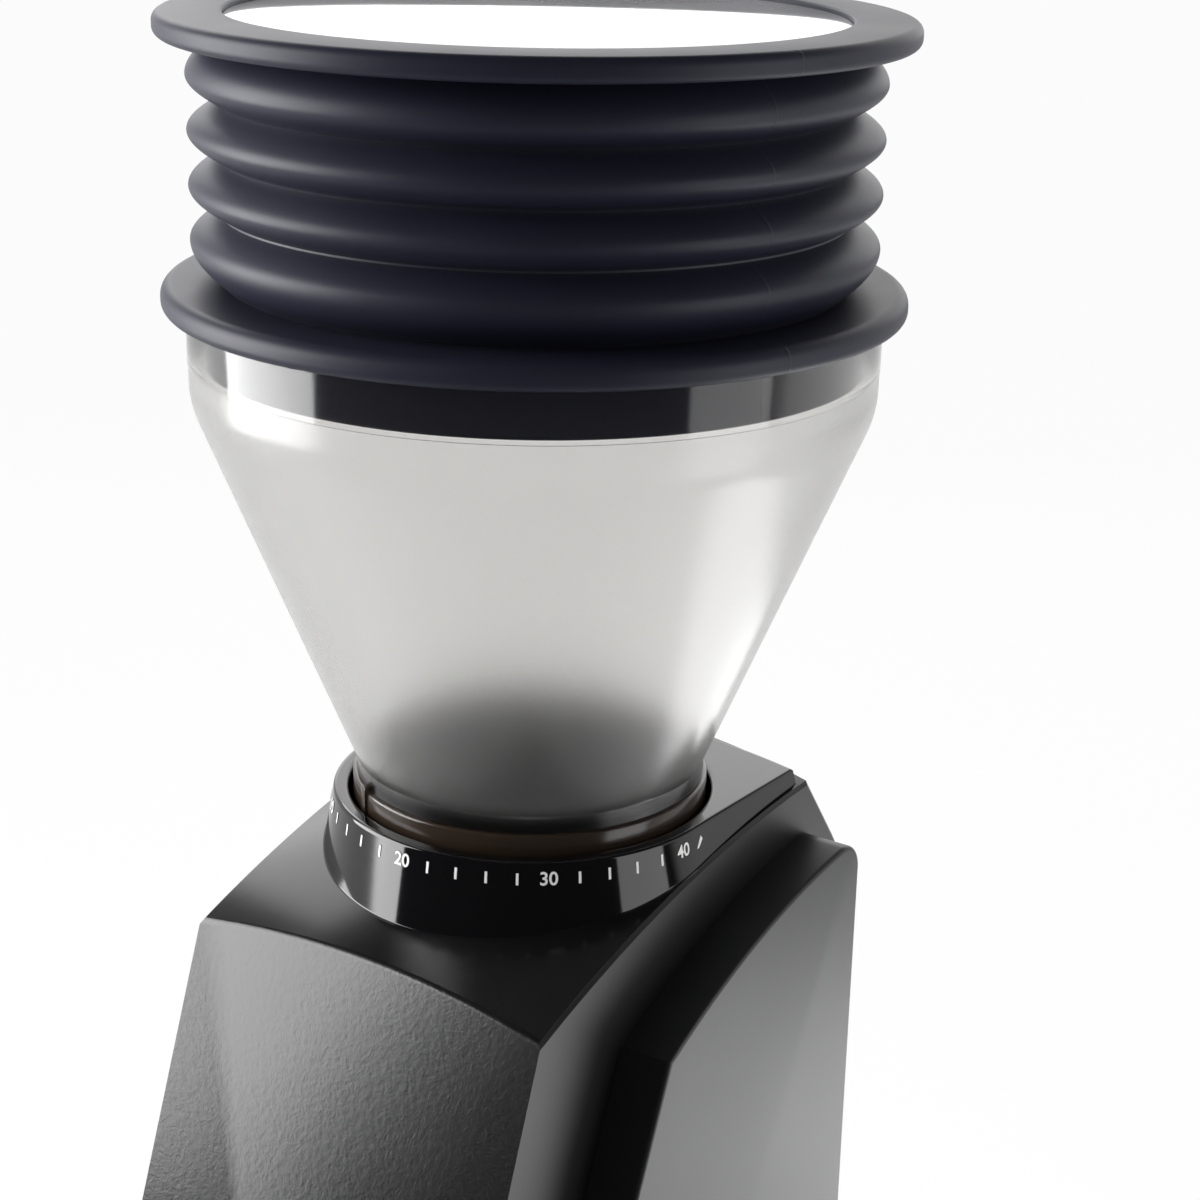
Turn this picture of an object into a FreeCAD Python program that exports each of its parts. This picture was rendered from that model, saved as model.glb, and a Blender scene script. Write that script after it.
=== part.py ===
import FreeCAD, Part
import math
import os

# Home burr coffee grinder with a squeeze bellows on its bean hopper.
# Millimetres. The burr axis is the Z axis, the table is z = 0, the front faces -Y, the right side is +X.

V = FreeCAD.Vector
UP = V(0, 0, 1)
RIGHT = V(1, 0, 0)

# Clearances
FIT = 0.03          # pieces that are pressed or screwed together
RUN = 0.05          # shaft in its bush
SLIDE = 0.3         # pieces that move past each other
SEAT = 0.2          # flat faces that turn on each other

# Heights of the stand
FOOT_H = 4.0
FOOT_R = 8.0
FOOT_X = 28.0
FOOT_FRONT_Y = -80.0
FOOT_REAR_INSET = 30.1
BASE_T = 4.0
BASE_INSET = 0.6

# Housing: leaning front, crowned top, rear rounded in plan
HALF_W = 38.2
WALL = 2.5
FRONT_Y = -99.0
FRONT_ARC_Z = 18.2
FRONT_ARC_R = 365.0
FRONT_LEAN = math.radians(19.5)
CROWN_DROP = 0.2
TOP_APEX_Y = 46.6
TOP_ARC_R = 259.0
CROWN_R = 270.0
REAR_PLAN_Y = -100.2
REAR_R = 160.3
REAR_Y = REAR_PLAN_Y + REAR_R
REAR_SHOULDER_R = 140.0
REAR_BEND_Z = 217.0
REAR_BEND_R = 40.0
EDGE_CHAMFER = 0.6
FORM_MARGIN = 60.0

# Side panels
PANEL_T = 10.0
PANEL_SETBACK = 25.0
PANEL_REAR_Y = 40.5
PANEL_TOP_Z = 232.6
PANEL_TOP_R = 150.0
PANEL_TOP_Y = 50.0
PANEL_CREASE_Y = -24.2
PANEL_SHOULDER_Z = 190.0
PANEL_CORNER_R = 6.0
PANEL_ROUND = 1.4

# Scale collar
COLLAR_TOP_Z = 245.0
COLLAR_R = 36.75
COLLAR_BORE_R = 33.4
COLLAR_SPIGOT_R = 35.0
COLLAR_DEPTH = 19.0
COLLAR_REAR_SETBACK = 0.5

# Bin bay and bin
BAY_HALF_W = 33.0
BAY_FLOOR_Z = 14.0
BAY_TOP_Z = 122.0
BAY_BACK_Y = -8.0
BIN_WALL = 2.0
BIN_HEADROOM = 3.0
BIN_FRONT_INSET = 0.8
BIN_GAP = 0.6
BIN_CORNER_R = 6.0
BIN_NOTCH_R = 20.0
BIN_NOTCH_DEPTH = 7.0

# Pulse button on the leaning front
BUTTON_UP = 2.0
BUTTON_R = 7.5
BUTTON_PROUD = 1.5
BUTTON_FLANGE = 1.4
BUTTON_FLANGE_T = 1.5
BUTTON_STEM_R = 2.5
BUTTON_TRAVEL = 3.0
SWITCH_DEPTH = 10.0
SWITCH_GAP_S = 15.0
SWITCH_W = 12.0
SWITCH_H = 10.0

# Power knob and its rotary switch on the right side
KNOB_Y = 12.0
KNOB_Z = 72.0
KNOB_R = 14.0
KNOB_T = 5.0
KNOB_GRIP_W = 6.0
KNOB_GRIP_H = 7.0
KNOB_SHAFT_R = 3.0
ROTARY_R = 10.0
ROTARY_DEPTH = 10.5

# Control board on the left wall
BOARD_T = 1.6
BOARD_STANDOFF = 4.0
BOARD_BAY_GAP = 10.0
BOARD_REAR_INSET = 16.1
BOARD_Y = (BAY_BACK_Y + BOARD_BAY_GAP, REAR_Y - BOARD_REAR_INSET)
BOARD_Z = (52.0, 104.0)
STANDOFF_R = 2.5
STANDOFF_INSET = 4.0
CAPACITOR_R = 4.0
CAPACITOR_H = 4.5

# Cord gland at the rear
GLAND_Z = 30.0
GLAND_R = 7.0
GLAND_BORE_R = 3.4
GLAND_PROUD = 3.0

# Hopper
HOPPER_R = 60.0
HOPPER_WALL = 2.0
HOPPER_LIFT = 3.3
HOPPER_LIP_H = 3.3
HOPPER_CONE_H = 65.6
HOPPER_BEND_H = 8.5
HOPPER_BAND_H = 9.15
HOPPER_TURN_R = 59.1
HOPPER_FOOT_R = 31.9
NECK_R = 31.3
NECK_DEPTH = 13.0
NECK_RING_R = 32.6
NECK_RING_DEPTH = 5.0
INDEX_ANGLE = math.radians(-29.0)
INDEX_W = 2.0
INDEX_RISE = 1.1

# Bellows
FLANGE_R = 64.1
FLANGE_T = 4.5
FLANGE_ROUND = 2.0
PLUG_R = 57.4
PLUG_WALL = 2.4
PLUG_DEPTH = 9.0
FOLD_CREST_R = 58.8
FOLD_DEPTH = 5.4
FOLD_WALL = 1.6
FOLD_SHOULDER = 0.3
FOLD_COUNT = 4
FOLD_PITCH = 9.15
FOLD_FIRST_RISE = 7.2
FOLD_LAST_RISE = 6.3
RIM_R = 63.9
RIM_T = 4.0
WINDOW_R = 52.4
WINDOW_T = 1.6
WINDOW_LEDGE = 2.4
WINDOW_RECESS = 0.9

# Burrs
CONE_Z = 204.0
CONE_H = 22.0
CONE_SKIRT_H = 4.0
CONE_R = 19.5
CONE_TOP_R = 8.0
CONE_TEETH = 12
RING_GAP = 0.9
RING_LIFT = 0.5
RING_H = 20.0
RING_R = 24.0
RING_MOUTH_R = 20.0
RING_NIP_H = 8.0
RING_TEETH = 24
TOOTH_DEPTH = 1.0
CARRIER_WALL = 2.2
CARRIER_LIP = 1.6
CARRIER_LIP_T = 1.0
CARRIER_RISE = 2.0
CARRIER_GASKET_T = 2.0

# Adjust ring and burr chamber
ADJUST_WALL = 6.0
ADJUST_LUG_COUNT = 3
ADJUST_LUG_W = 8.0
ADJUST_LUG_H = 6.0
CHAMBER_Z = 168.0
CHAMBER_TOP_Z = 214.0
CHAMBER_R = 33.0
CHAMBER_BORE_R = 27.2
CHAMBER_FLOOR_T = 5.0
OUTLET_HALF_W = 11.0
OUTLET_H = 17.0
PADDLE_LIFT = 1.0
PADDLE_GAP = 0.7
PADDLE_H = 9.0
PADDLE_HUB_R = 9.0
PADDLE_PLATE_T = 2.0
PADDLE_COUNT = 6
PADDLE_BLADE_W = 2.5

# Chute from the chamber down to the bin
CHUTE_WALL = 1.5
CHUTE_FRONT_Y = -52.0
CHUTE_BACK_Y = -34.0
CHUTE_BEND_DROP = 16.0
CHUTE_ROOF_Y = -40.0

# Shaft, bushes, gears
SHAFT_R = 4.0
BUSH_R = 7.0
BUSH_L = 10.0
BUSH_BOSS_WALL = 2.0
BOLT_HEAD_R = 6.5
BOLT_HEAD_H = 4.5
BOLT_SHANK_R = 2.0
BOLT_SHANK_L = 12.0
GEARBOX_Z = 130.0
GEARBOX_H = 34.0
GEARBOX_FLOOR = 4.0
GEARBOX_WALL = 1.8
COVER_T = CHAMBER_Z - GEARBOX_Z - GEARBOX_H
GEAR_CLEAR = 0.6
MAIN_TEETH = 56
SMALL_TEETH = 14
MAIN_MODULE = 0.8
LARGE_TEETH = 48
PINION_TEETH = 12
MOTOR_MODULE = 0.6
MAIN_GEAR_Z = 148.0
MAIN_GEAR_T = 8.0
LARGE_GEAR_Z = 138.0
LARGE_GEAR_T = 6.0
PRESSURE_ANGLE = math.radians(20.0)
BACKLASH = 0.16
IDLER_PIN_R = 3.0
MAIN_HUB_R = 10.0
MAIN_HUB_H = 3.0
MAIN_HOLES = 6
MAIN_HOLE_R = 3.5

# Motor
MOTOR_R = 23.0
MOTOR_H = 84.0
MOTOR_BAND_T = 3.0
MOTOR_STEP = 1.5
MOTOR_SHAFT_R = 1.6
MOTOR_NOSE_R = 6.0
SHELF_T = 4.0
SHELF_Y = (-16.0, 30.0)

# Screws
SCREW_R = 1.5
SCREW_HEAD_R = 3.0
SCREW_HEAD_H = 2.4
SCREW_REACH = 4.5
BOSS_R = 4.0
BOSS_H = 20.0
BASE_SCREW_X = 29.0
BASE_SCREW_REAR_INSET = 16.1
BASE_SCREW_Y = (-92.0, 2.0, REAR_Y - BASE_SCREW_REAR_INSET)
CHAMBER_SCREW_COUNT = 3
CHAMBER_SCREW_RADIUS = 30.0

# Values that follow from those above
HOUSING_Z = FOOT_H + BASE_T
REAR_SLOPE_TOP_Z = COLLAR_TOP_Z
TOP_APEX_Z = COLLAR_TOP_Z - CROWN_DROP
COLLAR_SPIGOT_Z = COLLAR_TOP_Z - COLLAR_DEPTH
HOPPER_LIP_Z = COLLAR_TOP_Z + HOPPER_LIFT
HOPPER_FOOT_Z = HOPPER_LIP_Z + HOPPER_LIP_H
HOPPER_TURN_Z = HOPPER_FOOT_Z + HOPPER_CONE_H
HOPPER_BAND_Z = HOPPER_TURN_Z + HOPPER_BEND_H
HOPPER_TOP_Z = HOPPER_BAND_Z + HOPPER_BAND_H
NECK_Z = COLLAR_TOP_Z - NECK_DEPTH
NECK_RING_Z = COLLAR_TOP_Z - NECK_RING_DEPTH
INDEX_TOP_Z = HOPPER_LIP_Z + INDEX_RISE
MAIN_PITCH_R = MAIN_MODULE * MAIN_TEETH / 2
SMALL_PITCH_R = MAIN_MODULE * SMALL_TEETH / 2
LARGE_PITCH_R = MOTOR_MODULE * LARGE_TEETH / 2
PINION_PITCH_R = MOTOR_MODULE * PINION_TEETH / 2
IDLER_X = LARGE_PITCH_R + PINION_PITCH_R
IDLER_Y = math.sqrt((MAIN_PITCH_R + SMALL_PITCH_R) ** 2 - IDLER_X ** 2)
MOTOR_Y = IDLER_Y
FLANGE_Z = HOPPER_TOP_Z
FOLDS_Z = FLANGE_Z + FLANGE_T
FOLDS_H = FOLD_FIRST_RISE + FOLD_PITCH * (FOLD_COUNT - 1) + FOLD_LAST_RISE
RIM_Z = FOLDS_Z + FOLDS_H
ADJUST_R = NECK_RING_R
ADJUST_BORE_R = ADJUST_R - ADJUST_WALL
ADJUST_Z = CHAMBER_TOP_Z + SEAT
CARRIER_R = RING_R + FIT + CARRIER_WALL
RING_Z = CONE_Z + RING_LIFT
CARRIER_Z = RING_Z - CARRIER_LIP_T
GEARBOX_TOP_Z = GEARBOX_Z + GEARBOX_H
PADDLE_Z = CHAMBER_Z + CHAMBER_FLOOR_T + PADDLE_LIFT
PADDLE_R = CHAMBER_BORE_R - PADDLE_GAP
SHAFT_TOP_Z = CONE_Z + CONE_H
OUTER_X = HALF_W + PANEL_T


def cylinder(radius, z0, z1, x=0.0, y=0.0):
    """Upright cylinder between two heights."""
    return Part.makeCylinder(radius, z1 - z0, V(x, y, z0), UP)


def tube(r_out, r_in, z0, z1, x=0.0, y=0.0):
    """Upright tube between two heights."""
    return cylinder(r_out, z0, z1, x, y).cut(cylinder(r_in, z0 - 1, z1 + 1, x, y))


def block(x0, x1, y0, y1, z0, z1):
    """Box between two corners."""
    return Part.makeBox(x1 - x0, y1 - y0, z1 - z0, V(x0, y0, z0))


def fused(shapes):
    """One clean solid from several that meet."""
    first = shapes[0]
    return first.multiFuse(shapes[1:]).removeSplitter() if len(shapes) > 1 else first


def polygon_wire(points):
    """Closed wire through points."""
    return Part.makePolygon(points + [points[0]])


def revolved(outline, x=0.0, y=0.0):
    """Solid of revolution about a vertical axis; outline is edges or (radius, z) corners."""
    if isinstance(outline[0], tuple):
        wire = polygon_wire([V(r, 0, z) for r, z in outline])
    else:
        wire = Part.Wire(outline)
    solid = Part.Face(wire).revolve(V(0, 0, 0), UP, 360)
    solid.translate(V(x, y, 0))
    return solid


def side_prism(corners, x0, x1):
    """Prism along X from (y, z) corners."""
    face = Part.Face(polygon_wire([V(x0, y, z) for y, z in corners]))
    return face.extrude(V(x1 - x0, 0, 0))


def arc(a, b, c):
    """Edge of the circle through three points."""
    return Part.Arc(a, b, c).toShape()


def line(a, b):
    """Straight edge."""
    return Part.LineSegment(a, b).toShape()


def polar(shape, count):
    """Copies of a shape, evenly spaced about the burr axis."""
    copies = []
    for i in range(count):
        copy = shape.copy()
        copy.rotate(V(0, 0, 0), UP, 360.0 * i / count)
        copies.append(copy)
    return copies


def front_tangent(inset):
    """Point (y, z) where the front's arc becomes its leaning line, inside the form by inset."""
    radius = FRONT_ARC_R - inset
    y = FRONT_Y + FRONT_ARC_R - radius * math.cos(FRONT_LEAN)
    return y, FRONT_ARC_Z + radius * math.sin(FRONT_LEAN)


def front_edges(inset, z_low, z_high, x):
    """Edges of the front outline in the plane at x, from low to high, and their two ends."""
    radius = FRONT_ARC_R - inset
    centre_y = FRONT_Y + FRONT_ARC_R
    half = FRONT_LEAN / 2
    y2, z2 = front_tangent(inset)
    rise = z_high - z2
    foot = V(x, FRONT_Y + inset, z_low)
    start = V(x, FRONT_Y + inset, FRONT_ARC_Z)
    middle = V(x, centre_y - radius * math.cos(half), FRONT_ARC_Z + radius * math.sin(half))
    end = V(x, y2, z2)
    top = V(x, y2 + rise * math.tan(FRONT_LEAN), z_high)
    return [line(foot, start), arc(start, middle, end), line(end, top)], foot, top


def front_prism(inset, half_w, z_low, z_high, y_back):
    """Everything behind the front outline, between two heights."""
    edges, foot, top = front_edges(inset, z_low, z_high, -half_w)
    top_back = V(-half_w, y_back, z_high)
    foot_back = V(-half_w, y_back, z_low)
    edges += [line(top, top_back), line(top_back, foot_back), line(foot_back, foot)]
    return Part.Face(Part.Wire(edges)).extrude(V(2 * half_w, 0, 0))


def rear_round(inset, z_low):
    """Round rear of the housing with its sloped shoulder, as a body of revolution."""
    r_wall = REAR_R - inset
    r_top = REAR_SHOULDER_R - inset
    slope = math.atan2(REAR_SLOPE_TOP_Z - REAR_BEND_Z, REAR_R - REAR_SHOULDER_R)
    turn = math.pi / 2 - slope
    run = REAR_BEND_R * math.tan(turn / 2)
    on_wall = V(r_wall, 0, REAR_BEND_Z - run)
    on_slope = V(r_wall - run * math.cos(slope), 0, REAR_BEND_Z + run * math.sin(slope))
    centre = V(r_wall - REAR_BEND_R, 0, on_wall.z)
    middle = centre + V(math.cos(turn / 2), 0, math.sin(turn / 2)) * REAR_BEND_R
    over = FORM_MARGIN
    top = V(r_top - over / math.tan(slope), 0, REAR_SLOPE_TOP_Z + over)
    axis_top = V(0, 0, top.z)
    axis_low = V(0, 0, z_low)
    wall_low = V(r_wall, 0, z_low)
    edges = [line(axis_low, wall_low), line(wall_low, on_wall), arc(on_wall, middle, on_slope)]
    edges += [line(on_slope, top), line(top, axis_top), line(axis_top, axis_low)]
    return revolved(edges, 0, REAR_PLAN_Y)


def crown_barrel(inset):
    """Barrel whose upper side is the housing's crowned top."""
    half = HALF_W + FORM_MARGIN / 2
    apex = TOP_APEX_Z - inset
    axis_z = TOP_APEX_Z - TOP_ARC_R
    drop = CROWN_R - math.sqrt(CROWN_R ** 2 - half ** 2)
    left = V(-half, TOP_APEX_Y, apex - drop)
    right = V(half, TOP_APEX_Y, apex - drop)
    left_axis = V(-half, TOP_APEX_Y, axis_z)
    right_axis = V(half, TOP_APEX_Y, axis_z)
    edges = [arc(left, V(0, TOP_APEX_Y, apex), right), line(right, right_axis)]
    edges += [line(right_axis, left_axis), line(left_axis, left)]
    return Part.Face(Part.Wire(edges)).revolve(V(0, TOP_APEX_Y, axis_z), RIGHT, 360)


def body_form(inset, z_low):
    """The housing's outer form, with every face moved in by inset."""
    rear_y = REAR_Y + FORM_MARGIN
    form = front_prism(inset, HALF_W - inset, z_low, COLLAR_TOP_Z + FORM_MARGIN / 2, rear_y)
    return form.common(rear_round(inset, z_low - 1)).common(crown_barrel(inset))


def top_edges(form):
    """The form's edges along its top: both sides and the front crease."""
    chosen = []
    for edge in form.Edges:
        box = edge.BoundBox
        along_side = box.XLength < 0.5 and abs(box.XMin) > HALF_W - 1 and box.ZMin > REAR_BEND_Z
        crease = box.XLength > HALF_W and box.ZMin > REAR_BEND_Z and box.YMax < PANEL_CREASE_Y
        if along_side or crease:
            chosen.append(edge)
    return chosen


def on_front(shape):
    """Turn a shape built along +Z (inwards) on to the button's axis on the leaning front."""
    y2, z2 = front_tangent(0)
    placed = shape.copy()
    placed.rotate(V(0, 0, 0), RIGHT, -90 - math.degrees(FRONT_LEAN))
    rise = BUTTON_UP
    placed.translate(V(0, y2 + rise * math.sin(FRONT_LEAN), z2 + rise * math.cos(FRONT_LEAN)))
    return placed


def across_right(shape):
    """Turn a shape built along +Z on to +X, at the power knob's axis."""
    placed = shape.copy()
    placed.rotate(V(0, 0, 0), V(0, 1, 0), 90)
    placed.translate(V(0, KNOB_Y, KNOB_Z))
    return placed


def switch_envelope(grow):
    """Body of the pulse switch, grown by a clearance."""
    half_w = SWITCH_W / 2 + grow
    half_h = SWITCH_H / 2 + grow
    return on_front(block(-half_w, half_w, -half_h, half_h, SWITCH_GAP_S, SWITCH_GAP_S + SWITCH_DEPTH))


def base_screw_places():
    """Where the base plate's screws stand."""
    return [(side * BASE_SCREW_X, y) for y in BASE_SCREW_Y for side in (-1, 1)]


def chamber_screw_places():
    """Where the burr chamber is screwed down, clear of the outlet in front."""
    places = []
    for i in range(CHAMBER_SCREW_COUNT):
        angle = math.radians(90 + 360.0 * i / CHAMBER_SCREW_COUNT)
        places.append((CHAMBER_SCREW_RADIUS * math.cos(angle), CHAMBER_SCREW_RADIUS * math.sin(angle)))
    return places


def main_housing():
    """Moulded centre section: shell, bin bay, shelves, bosses and openings."""
    outer = body_form(0, HOUSING_Z)
    outer = outer.makeChamfer(EDGE_CHAMFER, top_edges(outer))
    inner = body_form(WALL, HOUSING_Z - 1)
    bay_back = BAY_BACK_Y + WALL
    bay_far = FRONT_Y - 1
    bay = block(-HALF_W, HALF_W, bay_far, bay_back, BAY_FLOOR_Z - WALL, BAY_TOP_Z + WALL)
    shell = outer.cut(inner)
    adds = [bay.common(outer)]
    wall_x = HALF_W - WALL
    for side in (-1, 1):
        x0, x1 = sorted((side * (wall_x + WALL / 2), side * (wall_x - 2 * WALL)))
        adds.append(block(x0, x1, SHELF_Y[0], SHELF_Y[1], GEARBOX_Z - SHELF_T, GEARBOX_Z))
    for x, y in base_screw_places():
        top = min(HOUSING_Z + BOSS_H, BAY_FLOOR_Z - WALL / 2) if y < bay_back else HOUSING_Z + BOSS_H
        boss = cylinder(BOSS_R, HOUSING_Z, top, x, y)
        web_x0, web_x1 = sorted((x, math.copysign(wall_x + WALL / 2, x)))
        web = block(web_x0, web_x1, y - WALL / 2, y + WALL / 2, HOUSING_Z, top)
        adds += [boss, web.common(outer)]
    for y in (BOARD_Y[0] + STANDOFF_INSET, BOARD_Y[1] - STANDOFF_INSET):
        for z in (BOARD_Z[0] + STANDOFF_INSET, BOARD_Z[1] - STANDOFF_INSET):
            length = BOARD_STANDOFF + WALL / 2
            adds.append(Part.makeCylinder(STANDOFF_R, length, V(-wall_x - WALL / 2, y, z), RIGHT))
    seat = switch_envelope(0).BoundBox.Center
    post_y = (seat.y - SWITCH_H / 4, seat.y + SWITCH_H / 4)
    adds.append(block(-SWITCH_W / 2, SWITCH_W / 2, post_y[0], post_y[1], BAY_TOP_Z + WALL / 2, seat.z))
    solid = fused([shell] + adds)
    cuts = [block(-BAY_HALF_W, BAY_HALF_W, bay_far - 1, BAY_BACK_Y, BAY_FLOOR_Z, BAY_TOP_Z)]
    cuts.append(cylinder(COLLAR_SPIGOT_R + SLIDE, COLLAR_SPIGOT_Z, COLLAR_TOP_Z + 1))
    chute_half = OUTLET_HALF_W
    chute_y0 = CHUTE_FRONT_Y + CHUTE_WALL
    chute_y1 = CHUTE_BACK_Y - CHUTE_WALL
    cuts.append(block(-chute_half, chute_half, chute_y0, chute_y1, BAY_TOP_Z - 1, BAY_TOP_Z + WALL + 1))
    cuts.append(on_front(cylinder(BUTTON_R + SLIDE, -WALL, 2 * WALL)))
    cuts.append(switch_envelope(FIT))
    stem = BUTTON_STEM_R + SLIDE
    cuts.append(on_front(cylinder(stem, 0, SWITCH_GAP_S)))
    cuts.append(across_right(cylinder(KNOB_SHAFT_R + SLIDE, wall_x - 1, HALF_W + 1)))
    cuts.append(Part.makeCylinder(GLAND_R - WALL, REAR_R, V(0, 0, GLAND_Z), V(0, 1, 0)))
    for x, y in base_screw_places():
        cuts.append(cylinder(SCREW_R + FIT, HOUSING_Z - 1, HOUSING_Z + SCREW_REACH + FIT, x, y))
    for cutter in cuts:
        solid = solid.cut(cutter)
    return solid


def panel_top(y):
    """Level of the cheeks' upper edge."""
    return PANEL_TOP_Z - PANEL_TOP_R + math.sqrt(PANEL_TOP_R ** 2 - (PANEL_TOP_Y - y) ** 2)


def side_panel(side):
    """Raised cheek on one side, with a creased front edge and a rounded rear corner."""
    inset = PANEL_SETBACK
    x0 = side * HALF_W
    edges, foot, top = front_edges(inset, HOUSING_Z, PANEL_SHOULDER_Z, x0)
    crease = V(x0, PANEL_CREASE_Y, panel_top(PANEL_CREASE_Y))
    corner = PANEL_CORNER_R
    share = corner / PANEL_TOP_R
    end_y = (PANEL_REAR_Y - corner - share * PANEL_TOP_Y) / (1 - share)
    mid_y = (PANEL_CREASE_Y + end_y) / 2
    crown_end = V(x0, end_y, panel_top(end_y))
    centre = crown_end + (V(x0, PANEL_TOP_Y, PANEL_TOP_Z - PANEL_TOP_R) - crown_end) * share
    rear_top = centre + V(0, corner, 0)
    bend = centre + (rear_top + crown_end - centre * 2).normalize() * corner
    rear_low = V(x0, PANEL_REAR_Y, HOUSING_Z)
    edges += [line(top, crease), arc(crease, V(x0, mid_y, panel_top(mid_y)), crown_end)]
    edges += [arc(crown_end, bend, rear_top), line(rear_top, rear_low), line(rear_low, foot)]
    solid = Part.Face(Part.Wire(edges)).extrude(V(side * PANEL_T, 0, 0))
    outer_x = side * OUTER_X
    rim = [e for e in solid.Edges if abs(e.BoundBox.XMin - outer_x) + abs(e.BoundBox.XMax - outer_x) < 0.01]
    solid = solid.makeFillet(PANEL_ROUND, [e for e in rim if e.BoundBox.ZMax > HOUSING_Z + 1])
    if side > 0:
        solid = solid.cut(across_right(cylinder(KNOB_SHAFT_R + SLIDE, HALF_W - 1, OUTER_X + 1)))
    return solid


def base_plate():
    """Flat closing plate under the housing, with countersunk screw holes."""
    form = body_form(BASE_INSET, FOOT_H)
    slab = block(-HALF_W, HALF_W, FRONT_Y - 1, REAR_R, FOOT_H, HOUSING_Z)
    plate = form.common(slab)
    for x, y in base_screw_places():
        plate = plate.cut(cylinder(SCREW_R + SLIDE, FOOT_H - 1, HOUSING_Z + 1, x, y))
        plate = plate.cut(cylinder(SCREW_HEAD_R + SLIDE, FOOT_H - 1, FOOT_H + SCREW_HEAD_H, x, y))
    return plate


def rubber_feet():
    """Four soft feet with a tapered edge."""
    feet = []
    for y in (FOOT_FRONT_Y, REAR_Y - FOOT_REAR_INSET):
        for side in (-1, 1):
            taper = FOOT_H / 4
            profile = [(0, 0), (FOOT_R - taper, 0), (FOOT_R, taper), (FOOT_R, FOOT_H), (0, FOOT_H)]
            feet.append(revolved(profile, side * FOOT_X, y))
    return Part.makeCompound(feet)


def screw(x, y, head_z, reach, up):
    """Pan-head screw whose head starts at head_z and whose shank runs up or down."""
    end = head_z + up * SCREW_HEAD_H
    tip = end + up * reach
    head = cylinder(SCREW_HEAD_R, min(head_z, end), max(head_z, end), x, y)
    shank = cylinder(SCREW_R, min(end, tip), max(end, tip), x, y)
    return fused([head, shank])


def base_screws():
    """Screws that hold the base plate."""
    reach = HOUSING_Z + SCREW_REACH - FOOT_H - SCREW_HEAD_H
    return Part.makeCompound([screw(x, y, FOOT_H, reach, 1) for x, y in base_screw_places()])


def scale_collar():
    """U-shaped collar with a flat top, round in front and running back over the housing's crown."""
    low = COLLAR_SPIGOT_Z
    half = COLLAR_R
    nose = cylinder(half, low, COLLAR_TOP_Z)
    back = block(-half, half, 0, REAR_R, low, COLLAR_TOP_Z)
    reach = REAR_SHOULDER_R - COLLAR_REAR_SETBACK
    back = back.common(cylinder(reach, low, COLLAR_TOP_Z, 0, REAR_PLAN_Y))
    cap = fused([nose, back]).cut(crown_barrel(-FIT))
    spigot = cylinder(COLLAR_SPIGOT_R, low, COLLAR_TOP_Z)
    return fused([cap, spigot]).cut(cylinder(COLLAR_BORE_R, low - 1, COLLAR_TOP_Z + 1))


def cord_gland():
    """Round cord inlet in the rear wall."""
    forward = V(0, 1, 0)
    start = V(0, REAR_Y - WALL, GLAND_Z)
    flange = Part.makeCylinder(GLAND_R, WALL + GLAND_PROUD, start, forward).cut(rear_round(-FIT, 0))
    sleeve_y = REAR_Y - 2 * WALL
    length = 2 * WALL + GLAND_PROUD
    sleeve = Part.makeCylinder(GLAND_R - WALL - FIT, length, V(0, sleeve_y, GLAND_Z), forward)
    bore = Part.makeCylinder(GLAND_BORE_R, length + 2 * WALL, V(0, sleeve_y - WALL, GLAND_Z), forward)
    return fused([flange, sleeve]).cut(bore)


def bin_room(inset, half, z0, z1, y_back):
    """Room behind the front outline, cut level at the top."""
    room = front_prism(inset, half, z0, COLLAR_TOP_Z, y_back)
    return room.common(block(-half, half, FRONT_Y, y_back, z0, z1))


def grounds_bin():
    """Open-topped bin whose front follows the housing, with a finger notch in its front edge."""
    half = BAY_HALF_W - BIN_GAP
    z0 = BAY_FLOOR_Z + SLIDE
    z1 = BAY_TOP_Z - BIN_HEADROOM
    y1 = BAY_BACK_Y - BIN_GAP
    outer = bin_room(BIN_FRONT_INSET, half, z0, z1, y1)
    uprights = [e for e in outer.Edges if e.BoundBox.ZLength > z1 - z0 - 1 and e.BoundBox.YMin > y1 - 1]
    outer = outer.makeFillet(BIN_CORNER_R, uprights)
    inner = bin_room(BIN_FRONT_INSET + BIN_WALL, half - BIN_WALL, z0 + BIN_WALL, z1 + 1, y1 - BIN_WALL)
    notch_start = V(0, FRONT_Y, z1 + BIN_NOTCH_R - BIN_NOTCH_DEPTH)
    notch = Part.makeCylinder(BIN_NOTCH_R, (y1 - FRONT_Y) / 2, notch_start, V(0, 1, 0))
    return outer.cut(inner).cut(notch)


def pulse_button():
    """Round button cap with a retaining flange and a stem."""
    inside = WALL + SLIDE
    cap = cylinder(BUTTON_R, -BUTTON_PROUD, inside)
    cap = cap.makeFillet(BUTTON_PROUD / 2, [e for e in cap.Edges if e.BoundBox.ZMax < -BUTTON_PROUD + 0.01])
    flange = cylinder(BUTTON_R + BUTTON_FLANGE, inside, inside + BUTTON_FLANGE_T)
    stem = cylinder(BUTTON_STEM_R, inside, SWITCH_GAP_S - BUTTON_TRAVEL - SLIDE)
    return on_front(fused([cap, flange, stem]))


def pulse_switch():
    """Small switch behind the button, with its plunger's seat and two terminals."""
    terminals = []
    end = SWITCH_GAP_S + SWITCH_DEPTH
    for side in (-1, 1):
        x = side * SWITCH_W / 4
        terminals.append(on_front(block(x - 1, x + 1, -0.4, 0.4, end - 1, end + 2)))
    return fused([switch_envelope(0)] + terminals)


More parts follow.
